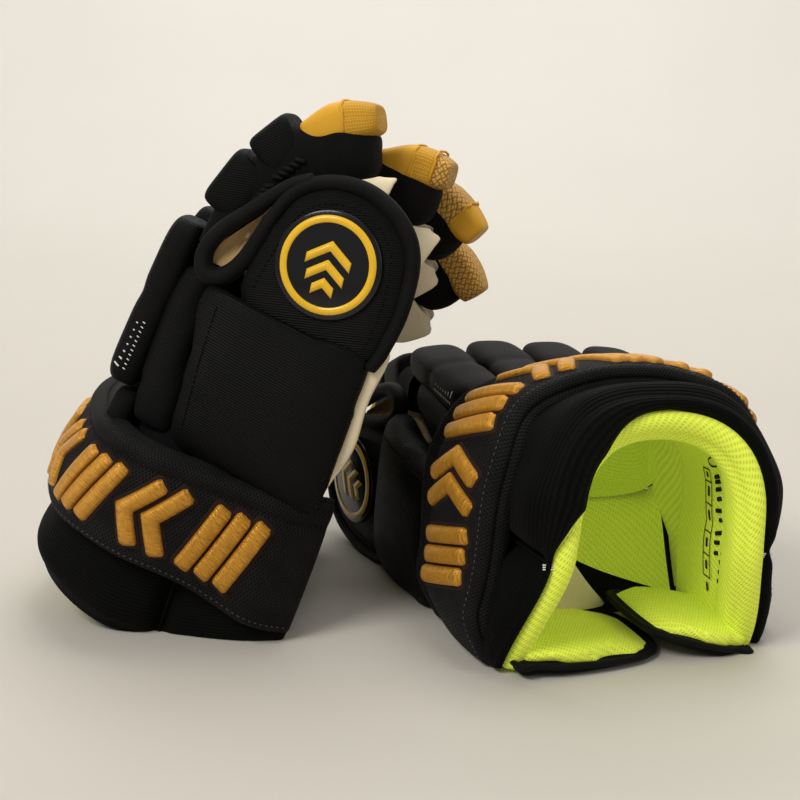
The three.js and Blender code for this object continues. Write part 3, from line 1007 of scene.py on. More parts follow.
def stroke(wrap, places, width, height, base=0.2):
    """Grid of one raised satin-stitched stroke along a line of places (s, x) on a wrap, with
    mitred corners."""
    places = np.array(places, float)
    along = unit(np.diff(places, axis=0))
    across = np.stack([-along[:, 1], along[:, 0]], 1)
    corners = unit(np.vstack([across[:1], across[:-1] + across[1:], across[-1:]]))
    corners /= np.vstack([[[1]], (corners[1:-1] * across[1:]).sum(1, keepdims=True), [[1]]])
    reach = distances(places)
    t = np.unique(np.concatenate([np.arange(0, reach[-1], 1.4), reach]))
    centre = between(t, reach, places)
    sideways = between(t, reach, corners) * width / 2
    a = np.linspace(0, np.pi, 11)
    ends = np.minimum(1, np.minimum(t, reach[-1] - t) / 1.6) ** 0.5
    spread = -np.cos(a)[None, :, None] * (0.72 + 0.28 * ends[:, None, None])
    flat = centre[:, None] + sideways[:, None] * spread
    lift = base + height * np.sin(a)[None] ** 0.7 * (0.25 + 0.75 * ends[:, None])
    top = wrap(flat[..., 0], flat[..., 1], lift)
    bottom = wrap(flat[..., 0], flat[..., 1], -0.6)
    return between_sheets(top, bottom)


# Lines of the embroidered shapes, as places (across, up) from 0 to 1: plain slashes and chevrons,
# which say nothing.
GLYPHS = {
    "slashes": [[(0.0, 0.0), (0.2, 1.0)], [(0.36, 0.0), (0.56, 1.0)], [(0.72, 0.0), (0.92, 1.0)]],
    "chevrons": [[(0.02, 1.0), (0.42, 0.5), (0.02, 0.0)], [(0.5, 1.0), (0.9, 0.5), (0.5, 0.0)]],
}
ROWS = ("slashes", "chevrons", "slashes", "chevrons", "slashes", "chevrons", "slashes")
GLYPH = {"first": 24.0, "width": 28.0, "pitch": 30.5, "low": 31.0, "high": 60.5, "stroke": 7.0}


def embroidery(side):
    """Seven raised gold shapes on the band, each on a dark stitched ground."""
    wrap = Wrap(side, band_top, 45)
    axes = glove_axes(side, "cuff")
    lean = 5.0
    for k, kind in enumerate(ROWS):
        left = GLYPH["first"] + k * GLYPH["pitch"]
        gold, dark = [], []
        for line in GLYPHS[kind]:
            spots = np.array([[left + 3 + across * (GLYPH["width"] - 5) + lean * (up - 0.5),
                               mix(GLYPH["high"], GLYPH["low"], up)] for across, up in line])
            gold.append(stroke(wrap, spots, GLYPH["stroke"], 2.3))
            wide = spots.copy()
            wide[0] -= unit(spots[1] - spots[0]) * 1.3
            wide[-1] += unit(spots[-1] - spots[-2]) * 1.3
            dark.append(stroke(wrap, wide, GLYPH["stroke"] + 2.8, 0.4, base=0.0))
        make(f"{side}_stitched_shape_{k}", gold, axes, "satin", f"{side}_cuff")
        make(f"{side}_stitched_ground_{k}", dark, axes, "outline", f"{side}_cuff")


def band_stitches(side):
    """Two rows of small stitches along the band: light by the rim, dark by the wrist."""
    axes = glove_axes(side, "cuff")
    wrap = Wrap(side, band_top, 27)
    for name, x, look in (("rim", 25.8, "grey"), ("wrist", 63.6, "binding")):
        s = np.linspace(2, wrap.length - 2, 260)
        path = wrap(s, x, 0.1)
        normals = unit(wrap(s, x, 3.0) - wrap(s, x, 0.0))
        stitches = dashes(path, normals, length=1.0, gap=1.5, radius=0.2)
        make(f"{side}_band_{name}_stitches", stitches, axes, look, f"{side}_cuff")


def rim_details(side):
    """White tacks at the ends of the pleats and at the corners of the rim."""
    axes = glove_axes(side, "cuff")
    parts = []
    for share in (0.012, PLEAT - 0.004, 1 - PLEAT + 0.004, 0.988):
        rim = RIM["start"] + rim_set_back(np.array(share)) - 0.5
        for k in range(3):
            outside = np.linspace(3.2, 9.3, 8)
            x = rim + 0.3 * k - 0.4 * np.sin(np.linspace(0, np.pi, 8)) - 0.3
            line = cuff_point(share + 0.002 * (k - 1), outside, x)
            parts.append(tube(line, 0.28, (1, 0, 0), sides=6))
    make(f"{side}_rim_tacks", parts, axes, "white", f"{side}_cuff")
    for name, share in (("thumb", PLEAT), ("little", 1 - PLEAT)):
        rim = RIM["start"] + rim_set_back(np.array(share))
        x = np.linspace(rim + 0.4, BAND["start"] + 1, 20)
        line = cuff_point(share, SHELL_OUT - 1.2, x)
        make(f"{side}_{name}_pleat_seam", tube(line, 0.4, (0, 1, 0), sides=8), axes, "binding",
             f"{side}_cuff", levels=0)


def flap_outline(which, grow=0.0):
    """Outline of a flap in its own x and y: straight along the hinge, rounded at the free end."""
    sign = 1 if which == "thumb" else -1
    start, end = FLAP["start"] - 3 - grow, FLAP["start"] + FLAP["length"] + grow
    width = FLAP[which] + (3 if which == "thumb" else -5)
    edge = [(start + 4, 4), (start + 0.5, -3), (start - 1.5, -width * 0.3), (start, -width * 0.65),
            (start + 4, -width * 0.88), (start + 14, -width), (end - 12, -width * 0.98),
            (end - 2, -width * 0.85), (end, -width * 0.5), (end, -3), (end - 4, 3.5)]
    line = curve(edge, 70, closed=True)
    return line * np.array([1, sign])


def flap_shape(which, low, high, edge, cap, grow):
    """A flap's pad between two heights, thinner towards its free end."""
    points, faces = pillow(flap_outline(which, grow), low, high, edge)
    points = points[:, [0, 2, 1]]
    points[:, 2] *= mix(FLAP["free"], 1, smooth(np.abs(points[:, 1]), FLAP[which], 12))
    return inflated(points, faces, cap=cap) if cap else (points, faces)


def flaps(side):
    """The two padded flaps that close the cuff under the wrist: a bright pad on a black one,
    with a cord sewn in between."""
    for which in ("thumb", "little"):
        body, axes = f"{side}_{which}_flap", flap_axes(side, which)
        for name, look, slot in (("pad", "lime", "liner_mesh"), ("base", "lining", "cuff_fabric")):
            make(f"{side}_{which}_flap_{name}", FLAP_SHAPES[which, name], axes, look, body,
                 body if name == "pad" else ())
        line = flap_outline(which, grow=0.6)
        path = np.c_[line, np.full(len(line), -0.6)]
        make(f"{side}_{which}_flap_cord", tube(path, 1.3, (0, 0, 1), closed=True), axes,
             "binding", body, levels=0)


def liner_print(side):
    """Plain printed bars, boxes and a ring on the lining inside the little-finger wall."""
    def place(share, x):
        rim = liner_rim(share)
        return cuff_point(share, liner_inside(share, (x - rim) / (CUFF_END - 3 - rim)) - 0.3, x)

    def mark(spots, thick):
        share, x = (np.linspace(spots[0][i], spots[1][i], 14) for i in (0, 1))
        return tube(place(share, x), thick, (0, 1, 0), sides=8, flat=0.15)

    marks = []
    for k in range(6):
        share = 0.75 + 0.028 * k
        marks += [mark(((share, 18 + k % 2), (share + 0.004, 23)), 0.9),
                  mark(((share + 0.012, 18), (share + 0.016, 23 - k % 3)), 0.9)]
    marks += [mark(((0.74, x), (0.91, x)), 0.28) for x in (27, 33)]
    for k in range(6):
        share = 0.74 + 0.034 * k
        marks.append(mark(((share, 27), (share, 33)), 0.28))
        marks.append(mark(((share + 0.010, 30), (share + 0.022, 30)), 0.8))
    angle = np.linspace(0, 2 * np.pi, 40)
    ring = place(0.715 + 0.013 * np.cos(angle), 22 + 3.4 * np.sin(angle))
    marks.append(tube(ring, 0.4, (0, 1, 0), sides=8, flat=0.3))
    make(f"{side}_liner_print", marks, glove_axes(side, "cuff"), "black_print", f"{side}_cuff")


def wrist_tab(side):
    """The corner of suede sewn inside the cuff, between its thumb-side wall and the flaps."""
    u, v = np.meshgrid(np.linspace(0, 1, 16), np.linspace(0, 1, 12), indexing="ij")
    apex, centre, corner = (np.array(p, float)
                            for p in ((20, 31, -9), (47, -8, -57), (40, 30, -57)))
    line = mix(apex, centre, u[..., None])
    line[..., 1] += 3 * np.sin(np.pi * u)
    points = mix(line, mix(line, corner, 0.9), v[..., None])
    points[..., 0] += 0.5 * np.sin(9 * u + 4 * v)
    shape = between_sheets(points, points + np.array([1.2, 0.3, -0.4]))
    piece = make(f"{side}_wrist_tab", shape, glove_axes(side, "cuff"), "suede", f"{side}_cuff")


def cuff(side):
    cuff_skirt(side)
    cuff_lining(side)
    cuff_band(side)
    embroidery(side)
    band_stitches(side)
    rim_details(side)
    liner_print(side)
    wrist_tab(side)
    flaps(side)


# ---- Hand ---------------------------------------------------------------------------------

def knuckle_x(y):
    return 157.6 - 0.0022 * (y - 10) ** 2 - np.where(y < -13, 0.12 * (-13 - y), 0)


def palm_z(x):
    return mix(HAND["palm_low"], FINGER_BOTTOM - 3.6, smooth(x, 96, 146))


def palm(side):
    """The suede palm: a thin sheet from the wrist to the finger roots."""
    u, v = np.meshgrid(np.linspace(0, 1, 30), np.linspace(0, 1, 28), indexing="ij")
    wide = mix(0.84, 1, smooth(mix(HAND["start"], 150, u), 80, 120))
    y = mix(HAND["little_side"], HAND["thumb_side"], v) * wide
    x = mix(HAND["start"] + 13, knuckle_x(y) - 2.5, u)
    sag = 3 * (1 - (2 * v - 1) ** 2) * (1 - u)
    folds = 0.5 * np.sin(9 * v + 4 * u) * np.sin(11 * u)
    z = palm_z(x) - sag + folds
    top = np.stack([x, y, z + 1.6], -1)
    bottom = np.stack([x, y, z], -1)
    piece = make(f"{side}_palm_leather", between_sheets(top, bottom), glove_axes(side, "hand"),
                 "suede", f"{side}_hand", f"{side}_palm")


def hand_skin(side):
    """The fabric body of the hand, under the rolls and panels and above the palm: bright mesh
    on its inside, black outside."""
    angle = np.linspace(0, 2 * np.pi, 49)
    for name, look, inset, slot in (("body", "jersey", 0.0, "back_fabric"),
                                    ("inside", "lime", 1.0, "liner_mesh")):
        x = np.linspace(HAND["start"] + 9 - 4 * inset, 150 - 16 * inset, 22)
        t = (x - x[0]) / (x[-1] - x[0])
        half = mix(46.5 - 4 * inset, 50 - inset, smooth(t, 0, 0.6)) - inset
        top = 10.0 - inset + mix(2, 0, t)
        low = palm_z(x) + 2.6 + inset
        middle, tall = (top + low) / 2, (top - low) / 2
        y = half[:, None] * power(np.cos(angle), 0.5)[None] - 2
        z = middle[:, None] + tall[:, None] * power(np.sin(angle), 0.5)[None]
        points = np.stack([np.broadcast_to(x[:, None], y.shape), y, z], -1)
        piece = make(f"{side}_hand_{name}", points, glove_axes(side, "hand"), look,
                     f"{side}_hand", f"{side}_back_board" if name == "body" else ())


def roll_shape(length, width, height, sides=28, rings=26, groove=None):
    """Grid of a padded roll along x with puckered ends, standing on z = 0."""
    t = np.linspace(0, 1, rings)
    along = 0.5 - 0.5 * np.cos(np.pi * t)
    angle = np.linspace(0, 2 * np.pi, sides + 1)
    swell = (1 - np.abs(2 * along - 1) ** 7) ** 0.5
    swell = 0.55 + 0.45 * swell
    if groove is not None:
        swell = swell * (1 - 0.13 * bell(along, groove, 0.035))
    pucker = 1 + 0.02 * np.sin(6 * angle)[None] * bell(along, 0, 0.15)[:, None]
    y = width / 2 * swell[:, None] * power(np.cos(angle), 0.62)[None] * pucker
    z = height / 2 + height / 2 * swell[:, None] * power(np.sin(angle), 0.62)[None] * pucker
    x = np.broadcast_to((length * along)[:, None], y.shape)
    return close_ends(np.stack([x, y, z], -1))


def back_rolls(side):
    """Four foam rolls along the back of the hand, each with a sewn bend line."""
    for finger, spec in FINGERS.items():
        row = spec["row"]
        start = HAND["start"] + 1 + 2 * abs(row)
        length = spec["knuckle"] - ROLL["gap_at_knuckle"] - start
        outer = abs(row) > 1
        axes = glove_axes(side, "hand") @ Matrix.Translation(
            (start, row * PITCH, HAND["back_top"] - ROLL["height"] - (1.4 if outer else 0.3)))
        axes = axes @ turn(-math.copysign(6, row) if outer else 0, "X")
        make(f"{side}_{finger}_back_pad",
             roll_shape(length, ROLL["width"], ROLL["height"], groove=0.52), axes,
             "fine_panel" if finger == "index" else "twill", f"{side}_hand",
             f"{side}_{finger}_back_roll")
        if finger == "index":
            print_marks(side, axes)


INDEX_SIDE_OUTLINE = [(71, -8), (84, -7), (104, -3), (128, 0.5), (136, 1), (139, 6), (137, 13),
                      (126, 17), (104, 15.5), (84, 13), (74, 12), (70, 4)]


def wrist_rolls(side):
    """Short pads across the wrist end of the back rolls, half under the band."""
    for finger, spec in FINGERS.items():
        long = 5 if finger == "index" else 0
        shape = roll_shape(18 + long, ROLL["width"] - 2, 12.5, rings=16)
        axes = glove_axes(side, "hand") @ Matrix.Translation(
            (61.5 - long, spec["row"] * PITCH * 0.96, 11.8 - 0.5 * long))
        make(f"{side}_{finger}_wrist_roll", shape, axes,
             "fine_panel" if finger == "index" else "twill", f"{side}_hand")


def index_side(side):
    """The ribbed pad down the side of the index roll, above the thumb's side panel."""
    make(f"{side}_index_side_pad", INDEX_SIDE, glove_axes(side, "hand"), "fine_panel",
         f"{side}_hand")


def print_marks(side, axes):
    """Small white printed ticks on the index roll's side, in place of the printed words."""
    parts = []
    for height, count, tall, thick in ((9.4, 7, 2.4, 0.36), (6.6, 11, 1.0, 0.24)):
        for k in range(count):
            z = np.linspace(height, height + tall, 5)
            bulge = np.sqrt(np.clip(1 - ((z - 7.5) / 7.5) ** 2, 0.01, 1))
            y = ROLL["width"] / 2 * power(bulge, 0.62)
            line = np.stack([7 + k * 22 / count + 0.25 * (z - height), y + 0.1, z], -1)
            parts.append(tube(line, thick, (0, 1, 0), sides=6, flat=0.4))
    make(f"{side}_printed_ticks", parts, axes, "white_print", f"{side}_hand")


def little_side(side):
    shape = inflated(*block((66, 7, 38), 5, cuts=12), cap=2.2)
    axes = glove_axes(side, "hand") @ Matrix.Translation(
        (HAND["start"] + 35, HAND["little_side"] - 7.5, -7))
    make(f"{side}_little_side_pad", shape, axes, "panel", f"{side}_hand",
         f"{side}_little_side_panel")


SIDE_PANEL = {"outer": 67, "thick": 14}
SIDE_PANEL_OUTLINE = [(70, -10), (86, -6), (112, -1.5), (131, 2.5), (135.5, 0.5), (137, -6),
                      (139, -40), (140.5, -64), (138, -69), (128, -71), (100, -73.5), (76, -74),
                      (71, -71), (69, -62), (69, -20)]


def side_panel_shape():
    points, faces = pillow(curve(SIDE_PANEL_OUTLINE, 90, closed=True),
                           SIDE_PANEL["outer"] - SIDE_PANEL["thick"], SIDE_PANEL["outer"], edge=5)
    along = (points[:, 0] - 70) / 68
    sunk = 5 * (1 - smooth(along, 0.1, 0.8)) + 7 * (1 - smooth(along, -0.05, 0.16))
    across = (points[:, 2] + 36) / 38
    points[:, 1] -= sunk + 3.5 * np.abs(across) ** 4
    return inflated(points, faces, cap=2.5)


def side_panel(side, shape):
    """The broad ribbed panel over the side of the hand, with its sewn border."""
    axes = glove_axes(side, "hand")
    make(f"{side}_thumb_side_pad", shape, axes, "panel", f"{side}_hand",
         f"{side}_thumb_side_panel")
    x = np.linspace(HAND["start"] + 3, THUMB["bend"] - 4, 60)
    line = np.stack([x, np.full(60, 60.0), mix(-14, -7.5, (x - 80) / 55)], -1)
    stitches = stitched_on(shape, line, 1.5, 0.9, 0.25, lift=0.05)
    make(f"{side}_side_pad_stitches", stitches, axes, "binding", f"{side}_hand")
    palm_edge(side)


def palm_edge(side):
    """The suede that shows along the palm side of the panel."""
    t = np.linspace(0, 1, 40)
    x = mix(74, THUMB["bend"] + 8, t)
    z = -70.5 - 3.2 * np.sin(np.pi * t) ** 0.6 + 1.0 * np.sin(11 * t)
    y = mix(51, 58, smooth(t, 0, 0.7))
    shape = ((1.5, 8), (1.6, 0), (0.9, -1.6), (-0.6, -1.8), (-3.0, 0.5), (-4.0, 8), (1.5, 8))
    strip = np.stack([np.stack([x, y + a, z + b], -1) for a, b in shape], 1)
    make(f"{side}_palm_edge_strip", close_ends(strip), glove_axes(side, "hand"), "suede",
         f"{side}_hand")


def gaiter_shape(outside, hand_half, hand_top, start):
    x = np.linspace(start, 92, 18)
    share = np.linspace(0.0, 1.0, 90)
    t = smooth(x, 62, 88)[:, None]
    cuff_side = cuff_point(share[None], outside, np.minimum(x, CUFF_END)[:, None])
    near = np.abs(share - 0.5)
    angle = np.pi * share
    y = hand_half * power(np.cos(angle), 0.5)
    z = -12 + hand_top * power(np.sin(angle), 0.6)
    z = mix(z, -44, smooth(near, 0.3, 0.5))
    hand_side = np.stack([np.zeros_like(y), y, z], -1)[None]
    points = mix(cuff_side, np.broadcast_to(hand_side, cuff_side.shape), t[..., None])
    points[..., 0] = x[:, None]
    points[..., 2] += 0.6 * np.sin(x / 3.2)[:, None] * (share * (1 - share) * 4)[None]
    return points


def under_sheet(little_start, thumb_start, end, lift):
    """Grid of a sheet across the palm side of the wrist, cut off at a slant by the flaps."""
    u, v = np.meshgrid(np.linspace(0, 1, 20), np.linspace(-1, 1, 24), indexing="ij")
    x = mix(mix(little_start, thumb_start, (v + 1) / 2), end, u)
    t = (x - 54) / 38
    z = mix(-61, -26.5, smooth(t, 0.0, 0.85)) + lift * (1 + 2.4 * smooth(t, 0.7, 1.1))
    z -= (1.5 * (1 - v ** 2) - 0.6 * np.sin(14 * t + 2 * v)) * np.clip(1 - t, 0, 1)
    return np.stack([x, (mix(44, 49, np.clip(t, 0, 1)) - 2 * lift) * v, z], -1)


def wrist_gaiter(side):
    """Soft fabric that joins the cuff to the hand under the band: black outside, bright inside, and
    a black sheet across the palm side, whose bare wedge beyond the bright mesh is painted shade."""
    axes = glove_axes(side, "cuff")
    for name, points, look, slot in (
            ("gaiter", gaiter_shape(8.0, 49, 27, 56), "jersey", "cuff_fabric"),
            ("gaiter_lining", gaiter_shape(3.5, 45, 23, 62), "lime", "liner_mesh"),
            # the black sheet is partly lining; the wedge of it left bare beyond the bright under
            # mesh is painted shade
            ("under_lining_and_shade", under_sheet(54, 54, 97, 0), "lining", "cuff_fabric"),
            ("under_mesh", under_sheet(59, 81, 94, 1.3), "lime", "liner_mesh")):
        piece = make(f"{side}_wrist_{name}", points, axes, look, None)
        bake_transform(piece)


# ---- Thumb --------------------------------------------------------------------------------

THUMB_PAD = {"middle": 28.0, "across": -6.5, "low": 1.6, "high": 12.8}
THUMB_SIDE = [(2, 22.4), (18, 22.6), (34, 21.2), (46, 16.8), (54, 6.8), (57, -7.5), (52.6, -22),
              (42.8, -31.6), (25, -36.2), (8, -36.4), (0, -35)]  # round the pad, hinge to hinge


def thumb_outline(grow=0.0, count=80):
    """The pad's outline in x and z, from the hinge round the tip and back to the hinge."""
    line = curve(THUMB_SIDE, count)
    centre = np.array([THUMB_PAD["middle"], THUMB_PAD["across"]])
    return line + unit(line - centre) * grow


def thumb_shape():
    line = np.vstack([thumb_outline(1.4, 64), [(-6, -29), (-8, -6), (-6, 17)]])
    points, faces = pillow(line, THUMB_PAD["low"], THUMB_PAD["high"], edge=3.2)
    return inflated(points, faces, cap=2.5)


def thumb(side, shape):
    """The thumb's outer pad with thick piping, its gloss patch, and the stall behind."""
    body = f"{side}_thumb"
    axes = thumb_axes(side)
    slanted = np.array([[0.93, -0.37], [0.37, 0.93]])
    piece = add(f"{side}_thumb_outer_pad", *shape, box_uvs(*shape) @ slanted, axes,
                LOOKS["fine_panel"], levels=1)
    finish_piece(piece, body, f"{side}_thumb_pad")
    line = thumb_outline(0.6, 110)[18:]
    path = np.stack([line[:, 0], np.full(len(line), 9.6), line[:, 1]], -1)
    thick = mix(3.1, 2.4, np.abs(np.linspace(-0.9, 1, len(line))))
    make(f"{side}_thumb_piping", tube(path, thick, (0, 1, 0), sides=14), axes, "binding", body,
         levels=0)
    line = thumb_outline(-7.0, 70)
    path = np.stack([line[:, 0], np.full(70, 12.0), line[:, 1]], -1)
    make(f"{side}_thumb_pad_stitches", stitched_on(shape, path, 1.4, 0.9, 0.24), axes, "binding",
         body)
    thumb_disc(side, body, axes)
    thumb_web(side, body, axes)
    thumb_back(side, body, axes)


DISC = {"radius": 20.3, "x": 27.4, "z": -5.5, "y": 15.0}
CHEVRONS = ((2.6, 8.6), (-4.4, 7.2), (-11.2, 4.2))  # each one's foot and half width
CHEVRONS_TURN = 1.36  # radians, towards the fingertips


def disc_point(radius, angle, lift=0.0):
    """A place on the patch's gently domed face."""
    height = DISC["y"] - 1.1 * (radius / DISC["radius"]) ** 2 + lift
    return np.stack(np.broadcast_arrays(DISC["x"] + radius * np.sin(angle), height,
                                        DISC["z"] + radius * np.cos(angle)), -1)


def disc_grid(radii, lifts):
    angle = np.linspace(0, 2 * np.pi, 73)[:, None]
    radii, lifts = np.asarray(radii, float)[None], np.asarray(lifts, float)[None]
    return disc_point(radii, angle, lifts)


def thumb_disc(side, body, axes):
    radius = DISC["radius"]
    face = [0, 4, 8, 12, 16, radius - 0.8, radius - 0.2, radius, radius, radius - 1, 6, 0]
    lifts = [0, 0, 0, 0, 0, -0.05, -0.2, -0.6, -1.6, -2, -2, -2]
    make(f"{side}_thumb_patch", disc_grid(face, lifts), axes, "film", body,
         f"{side}_thumb_disc", levels=0)
    ring = disc_grid([18.3, 18.2, 15.6, 15.5, 18.3], [-0.1, 0.22, 0.22, -0.1, -0.1])
    make(f"{side}_thumb_patch_ring", ring, axes, "gold_film", body, levels=0)
    parts = []
    for foot, half in CHEVRONS:
        for sign in (-1, 1):
            across = np.linspace(0, sign * half, 10)
            up = foot + 4.6 - 0.72 * np.abs(across)
            section = ((-1.9, 0.26), (1.9, 0.26), (1.9, -0.1), (-1.9, -0.1), (-1.9, 0.26))
            shape = [disc_point(np.hypot(across, up + edge),
                                np.arctan2(across, up + edge) + CHEVRONS_TURN, lift)
                     for edge, lift in section]
            parts.append(close_ends(np.stack(shape, 1)))
    make(f"{side}_thumb_patch_chevrons", parts, axes, "gold_film", body)


def thumb_web(side, body, axes):
    """The rolled loop of fabric between the thumb and the index finger, with leather inside."""
    path = curve([(52, 9, 14), (45.5, 8, 21.5), (31, 6, 31.5), (19, 5, 39), (9, 4.5, 41.5),
                  (2.5, 5, 38.5), (2.5, 5.5, 33), (7, 6.5, 28.5), (14, 8, 25.5), (23, 9, 23.6),
                  (32, 9.2, 22.4)], 90)
    thick = mix(2.8, 3.7, bell(np.linspace(0, 1, 90), 0.55, 0.3))
    make(f"{side}_thumb_web_roll", tube(path, thick, (0, 1, 0), sides=14), axes, "binding", body,
         levels=0)
    u, v = np.meshgrid(np.linspace(0, 1, 16), np.linspace(0, 1, 12), indexing="ij")
    x = mix(6, 40, u)
    upper = 41 - 0.62 * np.clip(x - 10, 0, 50)
    lower = 30 - 0.28 * np.clip(x - 6, 0, 50)
    z = mix(lower, upper, v)
    y = 2.5 - 3.5 * np.sin(np.pi * u) * np.sin(np.pi * v)
    points = np.stack([x, y, z], -1)
    shape = between_sheets(points, points - np.array([0, 1.2, 0]))
    make(f"{side}_thumb_web_leather", shape, axes, "tan", body)


def thumb_back(side, body, axes):
    """The thumb's leather stall and the plate between stall and pad."""
    middle = THUMB_PAD["middle"]
    outer, faces = block((38, 16, 40), 3.4, cuts=10)
    make(f"{side}_thumb_leather", (outer + np.array([middle - 8, -10.5, -4]), faces), axes,
         "suede", body, f"{side}_thumb_stall")
    plate, faces = block((40, 1.8, 44), 5, cuts=8)
    make(f"{side}_thumb_plate", (plate + np.array([middle - 2, -2, 0]), faces), axes, "plate",
         body, f"{side}_thumb_insert")


# ---- Fingers ------------------------------------------------------------------------------

SEGMENTS = ("base", "middle", "tip")
WIDTHS = (1.0, 0.98, 0.95)
FINGER = {"width": 25.2, "height": 26.4, "pad_low": 10.5, "roll_low": 4.5}
NOTCH = 6


def wedge(bend):
    return math.tan(math.radians(max(0, bend - NOTCH) / 2))


def pad_shape(length, slopes, scale, low, blind=False):
    """Grid of the pad over one length of a finger, rounded, over the sleeve."""
    width, height = FINGER["width"] * scale, FINGER["height"] * scale
    low = low * scale
    rings, sides = 22, 30
    t = np.linspace(0, 1, rings)
    along = 0.5 - 0.5 * np.cos(np.pi * t)
    angle = np.linspace(0, 2 * np.pi, sides + 1)
    swell = (1 - np.abs(2 * along - 1) ** (4 if blind else 6)) ** 0.5
    least = 0.66 if blind else 0.80
    swell = least + (1 - least) * swell
    middle, tall = (height + low) / 2, (height - low) / 2
    y = width / 2 * swell[:, None] * power(np.cos(angle), 0.55)[None]
    z = middle + tall * swell[:, None] * power(np.sin(angle), 0.55)[None]
    if blind:
        roof = mix(0.70, 1, smooth(along, 0.0, 0.5)) - 0.10 * smooth(along, 0.62, 1)
        z = low + (z - low) * roof[:, None]
    start = -z * slopes[0]
    end = length + z * slopes[1]
    if blind:
        end = length - 0.012 * np.abs(z - middle) ** 2 + 0 * z
    x = mix(start + 0.2, end - 0.2, along[:, None])
    return close_ends(np.stack([x, y, z], -1))


def tip_which(points, breaks):
    """Which material each face of a tip has, by its place along the tip."""
    x = points[..., 0]
    mean = (x[:-1, :-1] + x[1:, :-1] + x[:-1, 1:] + x[1:, 1:]) / 4
    return np.digitize(mean.ravel(), breaks)


TIPS = {
    "index": (("gold", "ripstop"), (14.5,)),
    "middle": (("gold", "ripstop", "basket"), (14.0, 22.5)),
    "ring": (("basket", "gold"), (17.0,)),
    "little": (("basket",), ()),
}


def sleeve_path(side, finger, s):
    """Place and slope of the sleeve's leather side at distance s from the knuckle, in the hand's
    axes, with each bend eased over a few millimetres."""
    spec = FINGERS[finger]
    bends = PLACES[side]["bends"][finger]
    joints = np.concatenate([[0], np.cumsum(spec["lengths"][:2])])
    fine = np.linspace(-16, 100, 1200)
    angle = np.zeros_like(fine)
    for bend, at in zip(bends, joints):
        angle += math.radians(bend) * smooth(fine, at - 5, at + 5)
    step = fine[1] - fine[0]
    x = np.cumsum(np.cos(angle)) * step
    z = -np.cumsum(np.sin(angle)) * step
    zero = np.interp(0, fine, x), np.interp(0, fine, z)
    return (np.interp(s, fine, x - zero[0]) + spec["knuckle"],
            np.interp(s, fine, z - zero[1]) + FINGER_BOTTOM, np.interp(s, fine, angle))


def sleeve_low(s):
    """The sleeve hangs lower towards the fingertip."""
    return mix(-1.5, -7.5, smooth(s, 6, 42))


SLEEVE = {"width": 24.4, "high": 19.5, "squareness": 0.66, "belly": 0.02}


def sleeve_shape(side, finger, start, end, tip):
    """Grid of a tube of cloth round the finger between two distances from its knuckle."""
    s = np.linspace(start, end, 22)
    low = sleeve_low(s)[:, None]
    x0, z0, angle = sleeve_path(side, finger, s)
    around = np.linspace(0, 2 * np.pi, 33)
    swell = np.ones_like(s)
    if tip:
        swell = np.sqrt(np.clip(1 - ((s - start) / (end - start)) ** 6, 0.0, 1))
        swell = 0.25 + 0.75 * swell
    swell = (swell * (1 + SLEEVE["belly"] * np.sin(s * 0.42)))[:, None]
    across, over = (power(f(around), SLEEVE["squareness"])[None] for f in (np.cos, np.sin))
    y = SLEEVE["width"] / 2 * swell * across
    up = (low + SLEEVE["high"]) / 2 + (SLEEVE["high"] - low) / 2 * swell * over
    x = x0[:, None] + up * np.sin(angle)[:, None]
    z = z0[:, None] + up * np.cos(angle)[:, None]
    return np.stack([x, y + FINGERS[finger]["row"] * PITCH, z], -1)


def finger(side, name):
    spec = FINGERS[name]
    bends = PLACES[side]["bends"][name]
    hand = glove_axes(side, "hand")
    bodies = [f"{side}_hand"] + [f"{side}_{name}_{part}" for part in SEGMENTS]
    joints = np.concatenate([[0], np.cumsum(spec["lengths"])])
    for i, part in enumerate(SEGMENTS):
        length = spec["lengths"][i]
        slopes = (wedge(bends[i]) if i else 0, wedge(bends[i + 1]) if i < 2 else 0)
        axes = finger_axes(side, name, i)
        low = FINGER["pad_low"] if i == 2 else FINGER["roll_low"]
        shape = pad_shape(length, slopes, WIDTHS[i], low, blind=i == 2)
        if i < 2:
            looks, which = LOOKS["twill"], None
        else:
            kinds, breaks = TIPS[name]
            looks = [LOOKS[kind] for kind in kinds]
            which = tip_which(shape, breaks)
        piece = surface(f"{side}_{name}_{part}_pad", shape, axes, looks, which, levels=1)
        finish_piece(piece, bodies[i + 1], f"{side}_{name}_{part}")
        if i < 2:
            seam_cord(side, name, part, bodies[i + 1], axes, length, slopes, WIDTHS[i])
        else:
            tip_seams(side, name, bodies[3], axes, TIPS[name][1], WIDTHS[2])
    middles = [-9.0] + [(joints[k] + joints[k + 1]) / 2 for k in range(2)] + [joints[3] - 2.5]
    for k in range(3):
        start, end = middles[k], middles[k + 1]
        shape = sleeve_shape(side, name, start, end, k == 2)
        if k == 2:
            cap = np.broadcast_to(shape[-1, :-1].mean(0), (1,) + shape.shape[1:])
            shape = np.concatenate([shape, cap])
        piece = make(f"{side}_{name}_sleeve_{k}", shape, hand, "jersey", None)
        blend_over(side, name, piece, joints, k)
        shape = leather_shape(side, name, start, end, k == 2)
        piece = make(f"{side}_{name}_leather_{k}", shape, hand, "suede", None)
        blend_over(side, name, piece, joints, k)


def blend_over(side, name, piece, joints, k):
    """Bakes a piece's place into its mesh; the piece is not bent across the finger's joint number
    k.
    """
    x, z, angle = sleeve_path(side, name, joints[k] + np.array([-5.5, 5.5]))
    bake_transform(piece)


# How far a finger's suede hangs out, where along the finger, and over what half length.
FRINGE = {"index": (9.0, 50, 16), "middle": (15.0, 60, 17), "ring": (19.0, 62, 20),
          "little": (21.0, 60, 20)}


